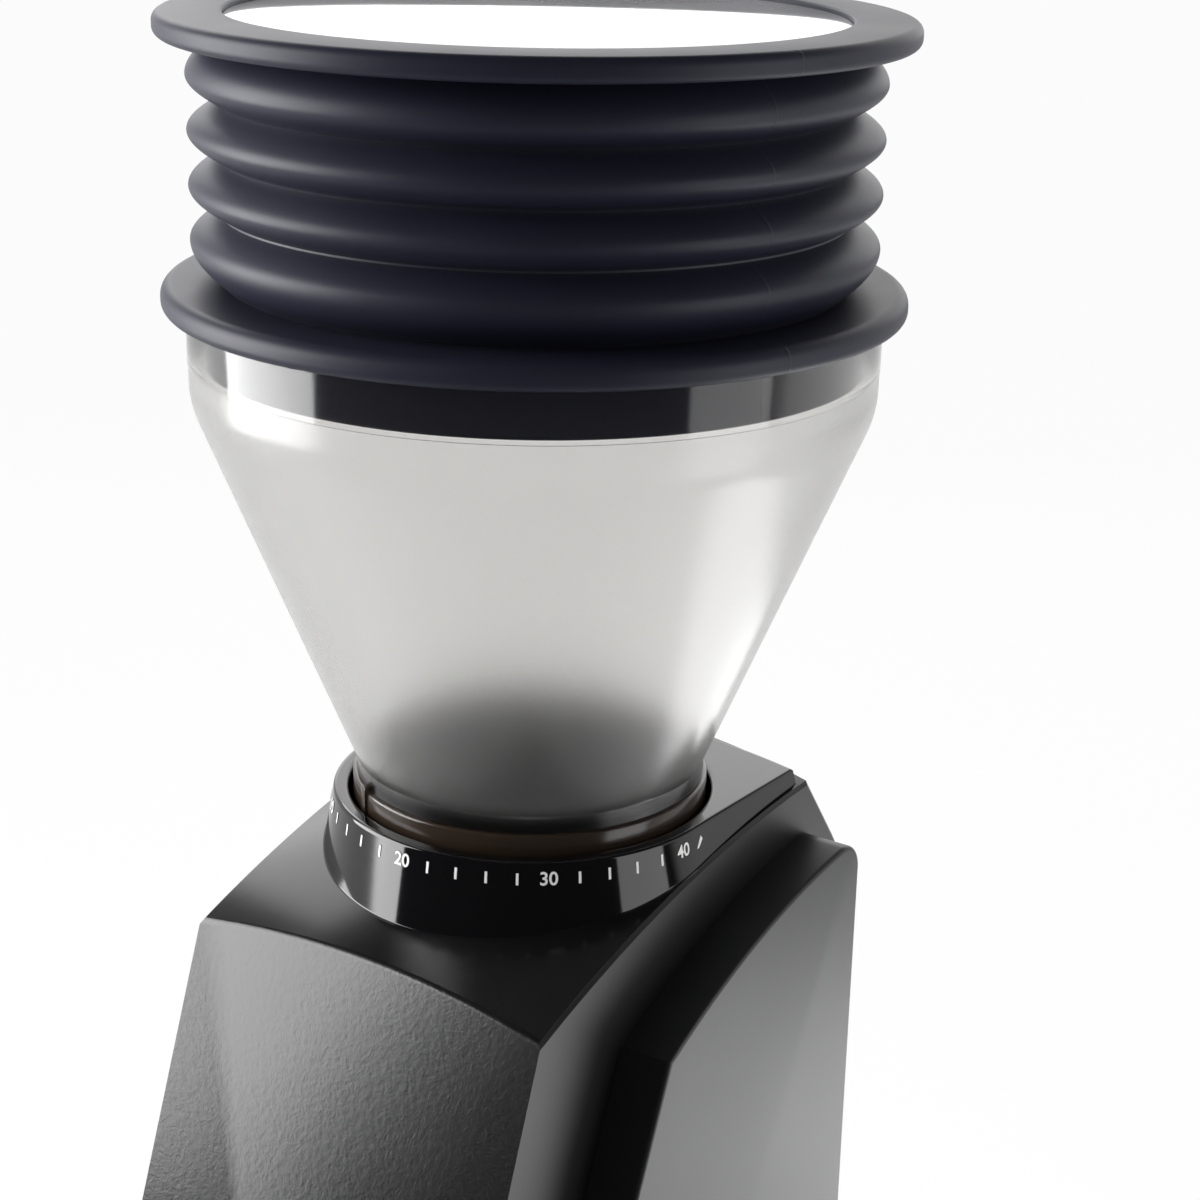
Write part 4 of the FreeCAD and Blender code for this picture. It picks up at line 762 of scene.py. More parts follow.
@dataclass
class Bellows:
    """Silicone bellows: flange with its plug, pleated sleeve, rim and window.

    Attributes:
        flange_r: Radius of the flange.
        flange_z: Underside of the flange.
        flange_t: Thickness of the flange.
        plug_r: Radius of the plug in the hopper.
        plug_depth: Depth of the plug.
        bore_r: Radius of the air passage.
        crest_r: Radius of the fold crests.
        fold_depth: Depth of the creases.
        fold_wall: Thickness of the folds.
        pitch: Distance of the crests.
        folds: Number of folds.
        first_rise: From the flange to the first crest.
        last_rise: From the last crest to the rim.
        rim_r: Radius of the rim.
        rim_t: Thickness of the rim.
        window_r: Radius of the window.
        window_t: Thickness of the window.
        recess: Depth of the window below the rim.
        press: How far the rim can be pressed down; not used.
        window_gap: Gap round the window in the rim.
        window_ledge: Width of the ledge under the window.
        columns: Points round the sleeve, first and last in one place.
        rows: Points up the sleeve.
        segments: Columns of the flange and the rim.
    """

    flange_r: float = 64.1
    flange_z: float = 334.85
    flange_t: float = 4.5
    plug_r: float = 57.4
    plug_depth: float = 9.0
    bore_r: float = 51.8
    crest_r: float = 58.8
    fold_depth: float = 5.4
    fold_wall: float = 1.6
    pitch: float = 9.15
    folds: int = 4
    first_rise: float = 7.2
    last_rise: float = 6.3
    rim_r: float = 63.9
    rim_t: float = 4.0
    window_r: float = 52.4
    window_t: float = 1.6
    recess: float = 0.9
    press: float = 22.0
    window_gap: float = 0.03
    window_ledge: float = 2.4
    columns: int = 241
    rows: int = 121
    segments: int = 220

    @property
    def sleeve_z(self) -> float:
        """Level where the folds start."""
        return self.flange_z + self.flange_t

    @property
    def sleeve_h(self) -> float:
        """Height of the folds at rest."""
        return self.first_rise + self.pitch * (self.folds - 1) + self.last_rise

    def build(self) -> None:
        """Make all pieces of the bellows."""
        self.build_flange()
        self.build_sleeve()
        self.build_rim()
        self.build_window()

    def build_flange(self) -> None:
        """Make the flange with the plug that seats in the hopper."""
        low = self.flange_z - self.plug_depth
        top = self.sleeve_z
        outline = Shop.rounded([(self.bore_r, low, 0.6), (self.plug_r, low, 1.0),
                                (self.plug_r, self.flange_z, 0.2), (self.flange_r, self.flange_z, 1.6),
                                (self.flange_r, top, 2.2), (self.bore_r, top, 0.3)], 7)
        piece = Shop.lathe("bellows_flange", outline, self.segments)
        Shop.settle(piece, Finishes.SILICONE, Body.BELLOWS, "bellows_base")

    def pleat_tree(self) -> bpy.types.NodeTree:
        """Geometry tree of the pleated sleeve's outer skin.

        Returns:
            The tree, whose lengths are in metres.
        """
        floats = ["Base Level", "Crest Radius", "Fold Depth", "Pitch", "First Rise", "Last Rise"]
        sockets = [(n, "NodeSocketFloat", 0.01) for n in floats]
        counts = {"Folds": self.folds, "Columns": self.columns, "Rows": self.rows}
        sockets += [(n, "NodeSocketInt", count) for n, count in counts.items()]
        sockets += [("Surface", "NodeSocketMaterial", None)]
        bench, gin, gout = new_group("pleated_sleeve", "GeometryNodeTree", sockets,
                                     [("Geometry", "NodeSocketGeometry")])
        size = gin.outputs
        grid = bench.add("GeometryNodeMeshGrid", {"Size X": 1.0, "Size Y": 1.0,
                                                  "Vertices X": size["Columns"], "Vertices Y": size["Rows"]})
        place = bench.add("GeometryNodeInputPosition").outputs[0]
        flat = bench.add("ShaderNodeSeparateXYZ", {"Vector": place}).outputs
        angle = bench.math("MULTIPLY", bench.math("ADD", flat["X"], 0.5), 2 * math.pi)
        span = bench.math("MULTIPLY", size["Pitch"], bench.math("SUBTRACT", size["Folds"], 1))
        height = bench.math("ADD", bench.math("ADD", size["First Rise"], size["Last Rise"]), span)
        rise = bench.math("MULTIPLY", bench.math("ADD", flat["Y"], 0.5), height)
        over = bench.math("SUBTRACT", rise, size["First Rise"])
        under = bench.math("MINIMUM", over, 0.0)
        between = bench.math("MINIMUM", bench.math("MAXIMUM", over, 0.0), span)
        above = bench.math("MAXIMUM", bench.math("SUBTRACT", over, span), 0.0)
        before = bench.math("MULTIPLY", bench.math("DIVIDE", under, size["First Rise"]), 0.5)
        middle = bench.math("DIVIDE", between, size["Pitch"])
        after = bench.math("MULTIPLY", bench.math("DIVIDE", above, size["Last Rise"]), 0.5)
        turns = bench.math("ADD", bench.math("ADD", before, middle), after)
        wave = bench.math("ABSOLUTE", bench.math("COSINE", bench.math("MULTIPLY", turns, math.pi)))
        dip = bench.math("MULTIPLY", size["Fold Depth"], bench.math("SUBTRACT", 1.0, wave))
        radius = bench.math("SUBTRACT", size["Crest Radius"], dip)
        x = bench.math("MULTIPLY", radius, bench.math("SINE", angle))
        y = bench.math("MULTIPLY", radius, bench.math("MULTIPLY", bench.math("COSINE", angle), -1.0))
        z = bench.math("ADD", size["Base Level"], rise)
        spot = bench.add("ShaderNodeCombineXYZ", {"X": x, "Y": y, "Z": z}).outputs[0]
        crease = bench.math("POWER", bench.math("SUBTRACT", 1.0, wave), 8.0)
        mark = bench.add("GeometryNodeStoreNamedAttribute",
                         {"Geometry": grid.outputs["Mesh"], "Name": "crease", "Value": crease},
                         data_type="FLOAT", domain="POINT")
        bent = bench.add("GeometryNodeSetPosition", {"Geometry": mark.outputs[0], "Position": spot})
        closed = bench.add("GeometryNodeMergeByDistance", {"Geometry": bent.outputs[0], "Distance": 1e-6})
        bench.close_tree(gout, closed.outputs[0], size["Surface"])
        return bench.tree

    def build_sleeve(self) -> None:
        """Make the pleated sleeve."""
        values = {"Base Level": self.sleeve_z * MM, "Crest Radius": self.crest_r * MM,
                  "Pitch": self.pitch * MM, "Fold Depth": self.fold_depth * MM,
                  "First Rise": self.first_rise * MM, "Last Rise": self.last_rise * MM, "Folds": self.folds,
                  "Columns": self.columns, "Rows": self.rows, "Surface": Finishes.SILICONE.material()}
        skin = Shop.grow("bellows_pleats", self.pleat_tree(), values)
        shape = bmesh.new()
        shape.from_mesh(skin.data)
        bmesh.ops.recalc_face_normals(shape, faces=shape.faces)
        probe = max(shape.faces, key=lambda f: f.calc_center_median().x)
        if probe.normal.x < 0:
            bmesh.ops.reverse_faces(shape, faces=shape.faces)
        shape.to_mesh(skin.data)
        shape.free()
        wall = skin.modifiers.new("wall", "SOLIDIFY")
        wall.thickness = self.fold_wall * MM
        wall.offset = -1.0
        mesh = Shop.bake(skin)
        skin.modifiers.remove(wall)
        skin.data = mesh
        Shop.smooth(mesh, 60.0)
        Shop.settle(skin, Finishes.SILICONE, Body.BELLOWS, "bellows_folds")
        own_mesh(skin)

    def build_rim(self) -> None:
        """Make the top rim with the window's ledge."""
        low = self.sleeve_z + self.sleeve_h
        top = low + self.rim_t
        seat = top - self.recess - self.window_t
        edge = self.window_r + self.window_gap
        inner = self.window_r - self.window_ledge
        outline = Shop.rounded([(inner, low, 0.4), (self.rim_r, low, 1.5), (self.rim_r, top, 1.6),
                                (edge, top, 0.5), (edge, seat, 0.0), (inner, seat, 0.2)], 7)
        piece = Shop.lathe("bellows_top_rim", outline, self.segments)
        Shop.settle(piece, Finishes.SILICONE, Body.BELLOWS_TOP, "bellows_rim")

    def build_window(self) -> None:
        """Make the clear disc in the rim."""
        top = self.sleeve_z + self.sleeve_h + self.rim_t - self.recess
        low = top - self.window_t
        outline = Shop.rounded([(0.0, low, 0.0), (self.window_r, low, 0.2), (self.window_r, top, 0.3),
                                (0.0, top, 0.0)], 3)
        piece = Shop.lathe("bellows_clear_window", outline)
        Shop.settle(piece, Finishes.WINDOW, Body.BELLOWS_TOP, "bellows_window")


@dataclass
class Hopper:
    """Smoke bean hopper with its polished band and the neck ring with the index tab.

    Attributes:
        band_r: Radius of the polished band.
        band_z: Lower edge of the band.
        top_z: Top of the hopper.
        wall: Wall thickness.
        turn_r: Radius where the cone bends into the band.
        turn_z: Level of that bend.
        foot_r: Radius at the foot of the cone.
        foot_z: Level of the foot of the cone.
        lip_z: Underside of the lip.
        neck_r: Radius of the neck.
        neck_z: Lower end of the neck.
        ring_r: Radius of the neck ring.
        ring_z: Lower edge of the neck ring.
        tab_angle: Angle of the index tab in degrees from the front.
        tab_w: Width of the index tab.
        tab_reach: Radius of the tab's outer face.
        tab_top: Top of the tab.
        tab_round: Radius of the tab's edges.
        step: Step from the cone's top to the band.
        step_h: Height of that step.
        ring_gap: Gap between neck and neck ring.
        tab_gap: Gap between the cone's foot and the tab.
    """

    band_r: float = 60.0
    band_z: float = 325.7
    top_z: float = 334.85
    wall: float = 2.0
    turn_r: float = 59.1
    turn_z: float = 317.2
    foot_r: float = 31.9
    foot_z: float = 251.6
    lip_z: float = 248.3
    neck_r: float = 31.3
    neck_z: float = 232.0
    ring_r: float = 32.6
    ring_z: float = 240.0
    tab_angle: float = -29.0
    tab_w: float = 2.0
    tab_reach: float = 33.1
    tab_top: float = 249.4
    tab_round: float = 0.25
    step: float = 0.14
    step_h: float = 0.12
    ring_gap: float = 0.03
    tab_gap: float = 0.05

    def build(self) -> None:
        """Make the hopper and its neck ring."""
        self.build_funnel()
        self.build_neck_ring()

    def build_funnel(self) -> None:
        """Make the funnel, with a small step under the polished band."""
        rise = (self.turn_z - self.foot_z) / (self.turn_r - self.foot_r)
        side = self.wall * math.hypot(1.0, rise) / rise
        under = self.band_r - self.step
        bend = self.turn_z + (under - self.turn_r) * rise
        inner_r = self.band_r - self.wall
        inner_bend = self.turn_z + (inner_r - self.turn_r + side) * rise
        throat = self.neck_r - self.wall
        throat_z = self.foot_z + (throat - self.foot_r + side) * rise
        outline = Shop.rounded([
            (throat, self.neck_z, 0.5), (self.neck_r, self.neck_z, 0.5), (self.neck_r, self.lip_z, 0.2),
            (self.foot_r, self.lip_z, 0.3), (self.foot_r, self.foot_z, 0.8), (under, bend, 22.0),
            (under, self.band_z, 0.0), (self.band_r, self.band_z + self.step_h, 0.0),
            (self.band_r, self.top_z, 0.5), (inner_r, self.top_z, 0.5), (inner_r, inner_bend, 20.0),
            (throat, throat_z, 2.0)], 8)
        piece = Shop.lathe("hopper_funnel", outline, 220)
        Shop.settle(piece, Finishes.HOPPER, Body.HOPPER, "hopper")

    def build_neck_ring(self) -> None:
        """Make the ring round the neck and its index tab."""
        inner = self.neck_r + self.ring_gap
        outline = Shop.rounded([(inner, self.ring_z, 0.0), (self.ring_r, self.ring_z, 0.3),
                                (self.ring_r, self.lip_z, 0.45), (inner, self.lip_z, 0.0)], 4)
        piece = Shop.lathe("neck_ring", outline, 200)
        shape = bmesh.new()
        shape.from_mesh(piece.data)
        made = bmesh.ops.create_cube(shape, size=1.0)["verts"]
        near = self.foot_r + self.tab_gap
        size = Vector((self.tab_w, self.tab_reach - near, self.tab_top - self.ring_z))
        centre = Vector((0.0, -(self.tab_reach + near) / 2, (self.tab_top + self.ring_z) / 2))
        turn = Matrix.Rotation(math.radians(self.tab_angle), 4, "Z")
        for vert in made:
            local = Vector(a * b for a, b in zip(vert.co, size)) + centre
            vert.co = (turn @ local) * MM
        edges = {e for v in made for e in v.link_edges}
        bmesh.ops.bevel(shape, geom=list(edges), offset=self.tab_round * MM, segments=2, affect="EDGES",
                        profile=0.5)
        shape.to_mesh(piece.data)
        shape.free()
        Shop.smooth(piece.data)
        Shop.settle(piece, Finishes.NECK, Body.HOPPER, "hopper_neck_ring")


@dataclass
class Collar:
    """Glossy collar round the neck, with the printed grind scale.

    Attributes:
        radius: Outer radius of the round front.
        bore: Radius of the bore.
        top_z: Level of the flat top.
        low_z: Lower end of the bore.
        rear_y: Centre of the rear outline.
        rear_r: Radius of the rear outline.
        crown_z: Highest level of the housing's top.
        crown_y: Where the housing's top is highest.
        crown_r: Radius of the housing's top, front to back.
        camber_r: Radius of the housing's top, side to side.
        zero: Angle of setting 0 in degrees from the front.
        per_step: Degrees of one setting.
        settings: Highest setting of the scale.
        print_z: Middle level of the print, where the wall has its radius.
        draft: Lean of the wall in degrees, inwards to the top.
        seat: Radius of the spigot in the housing.
        sink: How far the wall's foot lies below the housing's top.
        least_h: Least height of the wall.
        edge: Radius of the upper edges.
        flare: Radius of the fillet at the wall's foot.
        flare_rise: Level of the fillet over the foot, which clears the housing's top.
        segments: Columns round the axis.
        tick_w: Width of a tick.
        tick_h: Height of a tick.
        tick_film: Thickness of a tick.
        tick_step: Settings from tick to tick.
        numeral_step: Settings from numeral to numeral.
        numeral_h: Size of the numerals.
        numeral_bold: How far their strokes are widened.
        film: Thickness of the other print.
        sunk: How far that print reaches into the wall.
        mark: Corners of the mark at the coarse end, along and up the wall.
    """

    radius: float = 36.75
    bore: float = 33.4
    top_z: float = 245.0
    low_z: float = 226.0
    rear_y: float = -100.2
    rear_r: float = 139.5
    crown_z: float = 244.8
    crown_y: float = 46.6
    crown_r: float = 259.0
    camber_r: float = 270.0
    zero: float = -86.0
    per_step: float = 4.25
    settings: int = 42
    print_z: float = 242.1
    draft: float = 8.5
    seat: float = 35.0
    sink: float = 0.3
    least_h: float = 0.5
    edge: float = 0.7
    flare: float = 0.3
    flare_rise: float = 0.32
    segments: int = 260
    tick_w: float = 0.45
    tick_h: float = 2.1
    tick_film: float = 0.06
    tick_step: int = 2
    numeral_step: int = 10
    numeral_h: float = 3.3
    numeral_bold: float = 0.05
    film: float = 0.03
    sunk: float = 0.02
    mark: tuple[Point, ...] = ((-1.5, -0.95), (1.5, -0.95), (0.0, 1.1))

    def build(self) -> None:
        """Make the collar and its scale."""
        self.build_cap()
        self.build_ticks()
        self.build_numerals()

    def outer(self, angle: float) -> float:
        """Distance from the axis to the collar's outline, at an angle from the front in radians."""
        side = abs(math.sin(angle))
        back = -math.cos(angle)
        if back <= 0.0:
            return self.radius
        flank = self.radius / max(side, 1e-9)
        along = back * self.rear_y
        arc = along + math.sqrt(along ** 2 - self.rear_y ** 2 + self.rear_r ** 2)
        return min(flank, arc)

    def lean(self, z: float) -> float:
        """How far the wall stands out at a level, over its radius."""
        return (self.print_z - z) * math.tan(math.radians(self.draft))

    def crown(self, x: float, y: float) -> float:
        """Level of the housing's top at a place."""
        camber = self.camber_r - math.sqrt(self.camber_r ** 2 - x * x)
        lift = self.crown_r - camber
        return self.crown_z - self.crown_r + math.sqrt(lift ** 2 - (y - self.crown_y) ** 2)

    def build_cap(self) -> None:
        """Make the collar: outer wall, rounded edges, flat top and bore."""
        flank_end = self.rear_y + math.sqrt(self.rear_r ** 2 - self.radius ** 2)
        corner = math.pi - math.atan2(self.radius, flank_end)
        angles = sorted({*Shop.turns(self.segments), corner, 2 * math.pi - corner})
        shape = bmesh.new()
        columns = [[shape.verts.new(Shop.around(a, r, z)) for r, z in self.column(a)] for a in angles]
        Shop.close_columns(shape, columns)
        piece = Shop.finish_mesh("collar_cap", shape, 40.0)
        Shop.settle(piece, Finishes.COLLAR, Body.HOUSING, "scale_collar")

    def column(self, angle: float) -> list[Point]:
        """Outline of the collar at one angle.

        Args:
            angle: Angle from the front in radians.

        Returns:
            Radius and height of each point in mm.
        """
        outline = self.outer(angle)
        foot = self.top_z
        for _ in range(3):
            reach = outline + self.lean(foot)
            crown = self.crown(reach * math.sin(angle), -reach * math.cos(angle))
            foot = min(crown - self.sink, self.top_z - self.least_h)
        edge = min(self.edge, (self.top_z - foot) / 2.2)
        head = outline + self.lean(self.top_z)
        flare = min(self.flare, (self.top_z - foot) / 4)
        rise = foot + self.flare_rise
        rows = [(self.seat, self.low_z), (self.seat, self.low_z + 1.0), (self.seat, foot),
                (reach + flare, foot)]
        rows += [(reach + flare * (1 - math.sin(t)), rise + flare * (1 - math.cos(t)))
                 for t in Shop.quarter(3)]
        rows += [(head - edge * (1 - math.cos(t)), self.top_z - edge * (1 - math.sin(t)))
                 for t in Shop.quarter(4)]
        rows += [(head - edge - 0.3, self.top_z), (self.bore + edge + 0.3, self.top_z)]
        rows += [(self.bore + edge * (1 - math.sin(t)), self.top_z - edge * (1 - math.cos(t)))
                 for t in Shop.quarter(4)]
        rows.append((self.bore, self.low_z))
        return rows

    def tick_tree(self) -> bpy.types.NodeTree:
        """Geometry tree of the printed ticks.

        Returns:
            The tree, whose lengths are in metres and angles in radians.
        """
        floats = ["First Angle", "Step Angle", "Radius", "Level", "Tick Width", "Tick Height", "Film",
                  "Draft"]
        sockets = [(n, "NodeSocketFloat", 0.001) for n in floats]
        sockets += [("Ticks", "NodeSocketInt", 21), ("Numeral Every", "NodeSocketInt", 5),
                    ("Surface", "NodeSocketMaterial", None)]
        bench, gin, gout = new_group("scale_ticks", "GeometryNodeTree", sockets,
                                     [("Geometry", "NodeSocketGeometry")])
        size = gin.outputs
        row = bench.add("GeometryNodeMeshLine", {"Count": size["Ticks"]})
        index = bench.add("GeometryNodeInputIndex").outputs[0]
        angle = bench.math("ADD", size["First Angle"], bench.math("MULTIPLY", index, size["Step Angle"]))
        x = bench.math("MULTIPLY", size["Radius"], bench.math("SINE", angle))
        back = bench.math("MULTIPLY", bench.math("COSINE", angle), -1.0)
        y = bench.math("MULTIPLY", size["Radius"], back)
        spot = bench.add("ShaderNodeCombineXYZ", {"X": x, "Y": y, "Z": size["Level"]}).outputs[0]
        tilt = bench.math("MULTIPLY", size["Draft"], -1.0)
        turn = bench.add("ShaderNodeCombineXYZ", {"X": tilt, "Z": angle}).outputs[0]
        ring = bench.add("GeometryNodeSetPosition", {"Geometry": row.outputs[0], "Position": spot})
        numeral = bench.math("COMPARE", bench.math("MODULO", index, size["Numeral Every"]), 0.0, 0.1)
        form = bench.add("ShaderNodeCombineXYZ", {"X": size["Tick Width"], "Y": size["Film"],
                                                  "Z": size["Tick Height"]}).outputs[0]
        tick = bench.add("GeometryNodeMeshCube", {"Size": form})
        wanted = bench.math("SUBTRACT", 1.0, numeral)
        copies = bench.add("GeometryNodeInstanceOnPoints", {"Points": ring.outputs[0], "Selection": wanted,
                                                            "Instance": tick.outputs[0], "Rotation": turn})
        bench.close_tree(gout, copies.outputs[0], size["Surface"])
        return bench.tree

    def build_ticks(self) -> None:
        """Print the ticks between the numerals."""
        step = math.radians(self.tick_step * self.per_step)
        values = {"First Angle": math.radians(self.zero), "Step Angle": step, "Radius": self.radius * MM,
                  "Level": self.print_z * MM, "Tick Width": self.tick_w * MM,
                  "Tick Height": self.tick_h * MM, "Film": self.tick_film * MM,
                  "Ticks": self.settings // self.tick_step, "Draft": math.radians(self.draft),
                  "Numeral Every": self.numeral_step // self.tick_step,
                  "Surface": Finishes.PRINT.material()}
        piece = Shop.grow("collar_scale_ticks", self.tick_tree(), values)
        Shop.settle(piece, Finishes.PRINT, Body.HOUSING)

    def build_numerals(self) -> None:
        """Print the numerals of every tenth setting and the mark at the coarse end."""
        shape = bmesh.new()
        for setting in range(0, self.settings, self.numeral_step):
            self.wrap(shape, str(setting), setting)
        angle = math.radians(self.zero + self.per_step * self.settings)
        ring = [shape.verts.new(self.on_wall(angle, x, y, self.film)) for x, y in self.mark]
        foot = [shape.verts.new(self.on_wall(angle, x, y, -self.sunk)) for x, y in self.mark]
        shape.faces.new(ring)
        shape.faces.new(foot)
        for i in range(len(ring)):
            j = (i + 1) % len(ring)
            shape.faces.new((ring[i], foot[i], foot[j], ring[j]))
        piece = Shop.finish_mesh("collar_scale_numerals", shape, 30.0)
        Shop.settle(piece, Finishes.PRINT, Body.HOUSING)

    def on_wall(self, angle: float, x: float, y: float, film: float) -> Corner:
        """Place on the collar's wall.

        Args:
            angle: Angle from the front in radians.
            x: Distance along the wall in mm.
            y: Height over the print's middle in mm.
            film: Distance from the wall in mm.

        Returns:
            The place in metres.
        """
        z = self.print_z + y
        return Shop.around(angle + x / self.radius, self.radius + self.lean(z) + film, z)

    def wrap(self, shape: bmesh.types.BMesh, text: str, setting: int) -> None:
        """Wrap one numeral round the wall.

        Args:
            shape: Mesh to add the numeral to.
            text: The numeral.
            setting: Setting that it marks.
        """
        curve = bpy.data.curves.new("numeral", "FONT")
        curve.body = text
        curve.size = self.numeral_h
        curve.align_x = "CENTER"
        curve.align_y = "CENTER"
        curve.extrude = self.film
        curve.offset = self.numeral_bold
        holder = bpy.data.objects.new("numeral", curve)
        bpy.context.scene.collection.objects.link(holder)
        mesh = Shop.bake(holder)
        bpy.data.objects.remove(holder)
        angle = math.radians(self.zero + self.per_step * setting)
        for vert in mesh.vertices:
            vert.co = self.on_wall(angle, vert.co.x, vert.co.y, self.film - self.sunk + vert.co.z)
        shape.from_mesh(mesh)
        bpy.data.meshes.remove(mesh)


@dataclass
class Housing:
    """Moulded housing with its cheeks, controls, bin and feet.

    Attributes:
        collar: Collar whose sizes give the crowned top.
        half_w: Half width of the centre section.
        edge: Width of the flat on the top's edges.
        front_y: Front of the housing at its foot.
        arc_z: Level where the front's arc starts.
        arc_r: Radius of the front's arc.
        lean: Lean of the upper front in degrees.
        foot_z: Lower edge of the housing.
        shoulder_r: Radius of the rear outline at the top.
        cheek_t: Thickness of a cheek.
        setback: Distance of the cheeks from the front.
        cheek_rear: Rear end of the cheeks.
        cheek_top: Highest level of the cheeks' upper arc.
        cheek_arc: Radius of that arc.
        cheek_apex: Where that arc is highest.
        cheek_crease: Where the cheek's front edge meets that arc.
        shoulder_z: Level where the cheek's front edge starts to lean more.
        corner_r: Radius of the cheek's rear corner.
        cheek_round: Radius of the cheek's outer edges.
        grain_from: How far forward a face must look to carry the grain, as the cosine.
        top_lap: How far the top's skin reaches in under the collar.
        top_lift: How far that skin lies over the solid.
        top_sink: How far its underside lies in the solid.
        top_columns: Columns of that skin round the axis.
        top_steps: Its faces from the collar to its edge.
        front_corner: Distance of the top's front corners ahead of the axis.
        rear_corner: Distance of its rear corners behind the axis.
        front_search: Distances from the axis between which the top's front edge is sought.
        search_steps: Halvings of that search.
        cheek_step: Distance of the levels on the cheek's front edge.
        cheek_steps: Faces along the cheek's upper arc.
        corner_steps: Faces round the cheek's rear corner.
        edge_steps: Faces over the cheek's outer edges.
        cheek_sharp: Angle in degrees from which an edge of the cheek stays sharp.
    """

    collar: Collar
    half_w: float = 38.2
    edge: float = 0.6
    front_y: float = -99.0
    arc_z: float = 18.2
    arc_r: float = 365.0
    lean: float = 19.5
    foot_z: float = 8.0
    shoulder_r: float = 140.0
    cheek_t: float = 10.0
    setback: float = 25.0
    cheek_rear: float = 40.5
    cheek_top: float = 232.6
    cheek_arc: float = 150.0
    cheek_apex: float = 50.0
    cheek_crease: float = -24.2
    shoulder_z: float = 190.0
    corner_r: float = 6.0
    cheek_round: float = 0.9
    grain_from: float = 0.55
    top_lap: float = 1.6
    top_lift: float = 0.03
    top_sink: float = 0.3
    top_columns: int = 320
    top_steps: int = 8
    front_corner: float = 46.0
    rear_corner: float = 30.0
    front_search: Point = (30.0, 80.0)
    search_steps: int = 40
    cheek_step: float = 6.0
    cheek_steps: int = 32
    corner_steps: int = 16
    edge_steps: int = 12
    cheek_sharp: float = 10.0

    def build(self) -> None:
        """Make all outer pieces of the housing."""
        self.build_shell()
        self.build_top()
        self.build_cheek("left_cheek", "left_side_panel", -1.0)
        self.build_cheek("right_cheek", "right_side_panel", 1.0)
        Shop.settle(Shop.skin("grounds_bin", "bin_drawer"), Finishes.BIN, Body.BIN)
        Shop.settle(Shop.skin("pulse_button", "pulse_cap"), Finishes.BUTTON, Body.PULSE)
        Shop.settle(Shop.skin("power_knob", "power_dial"), Finishes.BUTTON, Body.POWER)
        Shop.settle(Shop.skin("rubber_feet", "feet"), Finishes.FOOT, Body.HOUSING)

    def front_line(self, inset: float, z: float) -> float:
        """Place of the front outline, moved in by inset, at one level."""
        radius = self.arc_r - inset
        centre = self.front_y + self.arc_r
        rise = radius * math.sin(math.radians(self.lean))
        if z <= self.arc_z:
            return self.front_y + inset
        if z <= self.arc_z + rise:
            return centre - math.sqrt(radius ** 2 - (z - self.arc_z) ** 2)
        start = centre - radius * math.cos(math.radians(self.lean))
        return start + (z - self.arc_z - rise) * math.tan(math.radians(self.lean))

    def build_shell(self) -> None:
        """Make the shell and mark its grained front."""
        piece = Shop.skin("main_housing", "housing_shell")
        mesh = piece.data
        mark = mesh.attributes.new("grain", "FLOAT", "FACE")
        grained = [float(-f.normal.y > self.grain_from) for f in mesh.polygons]
        mark.data.foreach_set("value", grained)
        Shop.settle(piece, Finishes.SHELL, Body.HOUSING)

    def top_reach(self, angle: float) -> float:
        """Distance from the axis to the edge of the crowned top.

        Args:
            angle: Angle from the front in radians.

        Returns:
            The distance in mm.
        """
        sine, cosine = math.sin(angle), math.cos(angle)
        reach = (self.half_w - self.edge) / max(abs(sine), 1e-9)
        if cosine < 0:
            along = -cosine * self.collar.rear_y
            radius = self.shoulder_r - self.edge / 4
            arc = along + math.sqrt(along ** 2 - self.collar.rear_y ** 2 + radius ** 2)
            return min(reach, arc)
        low, high = self.front_search
        for _ in range(self.search_steps):
            middle = (low + high) / 2
            x, y = middle * sine, -middle * cosine
            if y - self.edge > self.front_line(0.0, self.collar.crown(x, y)):
                low = middle
            else:
                high = middle
        return min(reach, low)

    def on_top(self, angle: float, r: float, lift: float) -> Corner:
        """Place in metres over the crowned top, at an angle in radians, a radius and a lift in mm."""
        crown = self.collar.crown(r * math.sin(angle), -r * math.cos(angle))
        return Shop.around(angle, r, crown + lift)

    def build_top(self) -> None:
        """Lay a fine skin over the crowned top, open round the collar's spigot."""
        seat = self.collar.radius - self.top_lap
        width = self.half_w - self.edge
        corners = [math.atan2(width, self.front_corner), math.pi - math.atan2(width, self.rear_corner)]
        mirrored = [2 * math.pi - a for a in corners]
        shape = bmesh.new()
        columns = []
        for a in sorted({*Shop.turns(self.top_columns), *corners, *mirrored}):
            reach = self.top_reach(a)
            radii = [seat + (reach - seat) * k / self.top_steps for k in range(self.top_steps + 1)]
            rows = [(r, self.top_lift) for r in radii] + [(r, -self.top_sink) for r in reversed(radii)]
            columns.append([shape.verts.new(self.on_top(a, r, lift)) for r, lift in rows])
        Shop.close_columns(shape, columns)
        piece = Shop.finish_mesh("housing_crown", shape)
        Shop.settle(piece, Finishes.SHELL, Body.HOUSING)

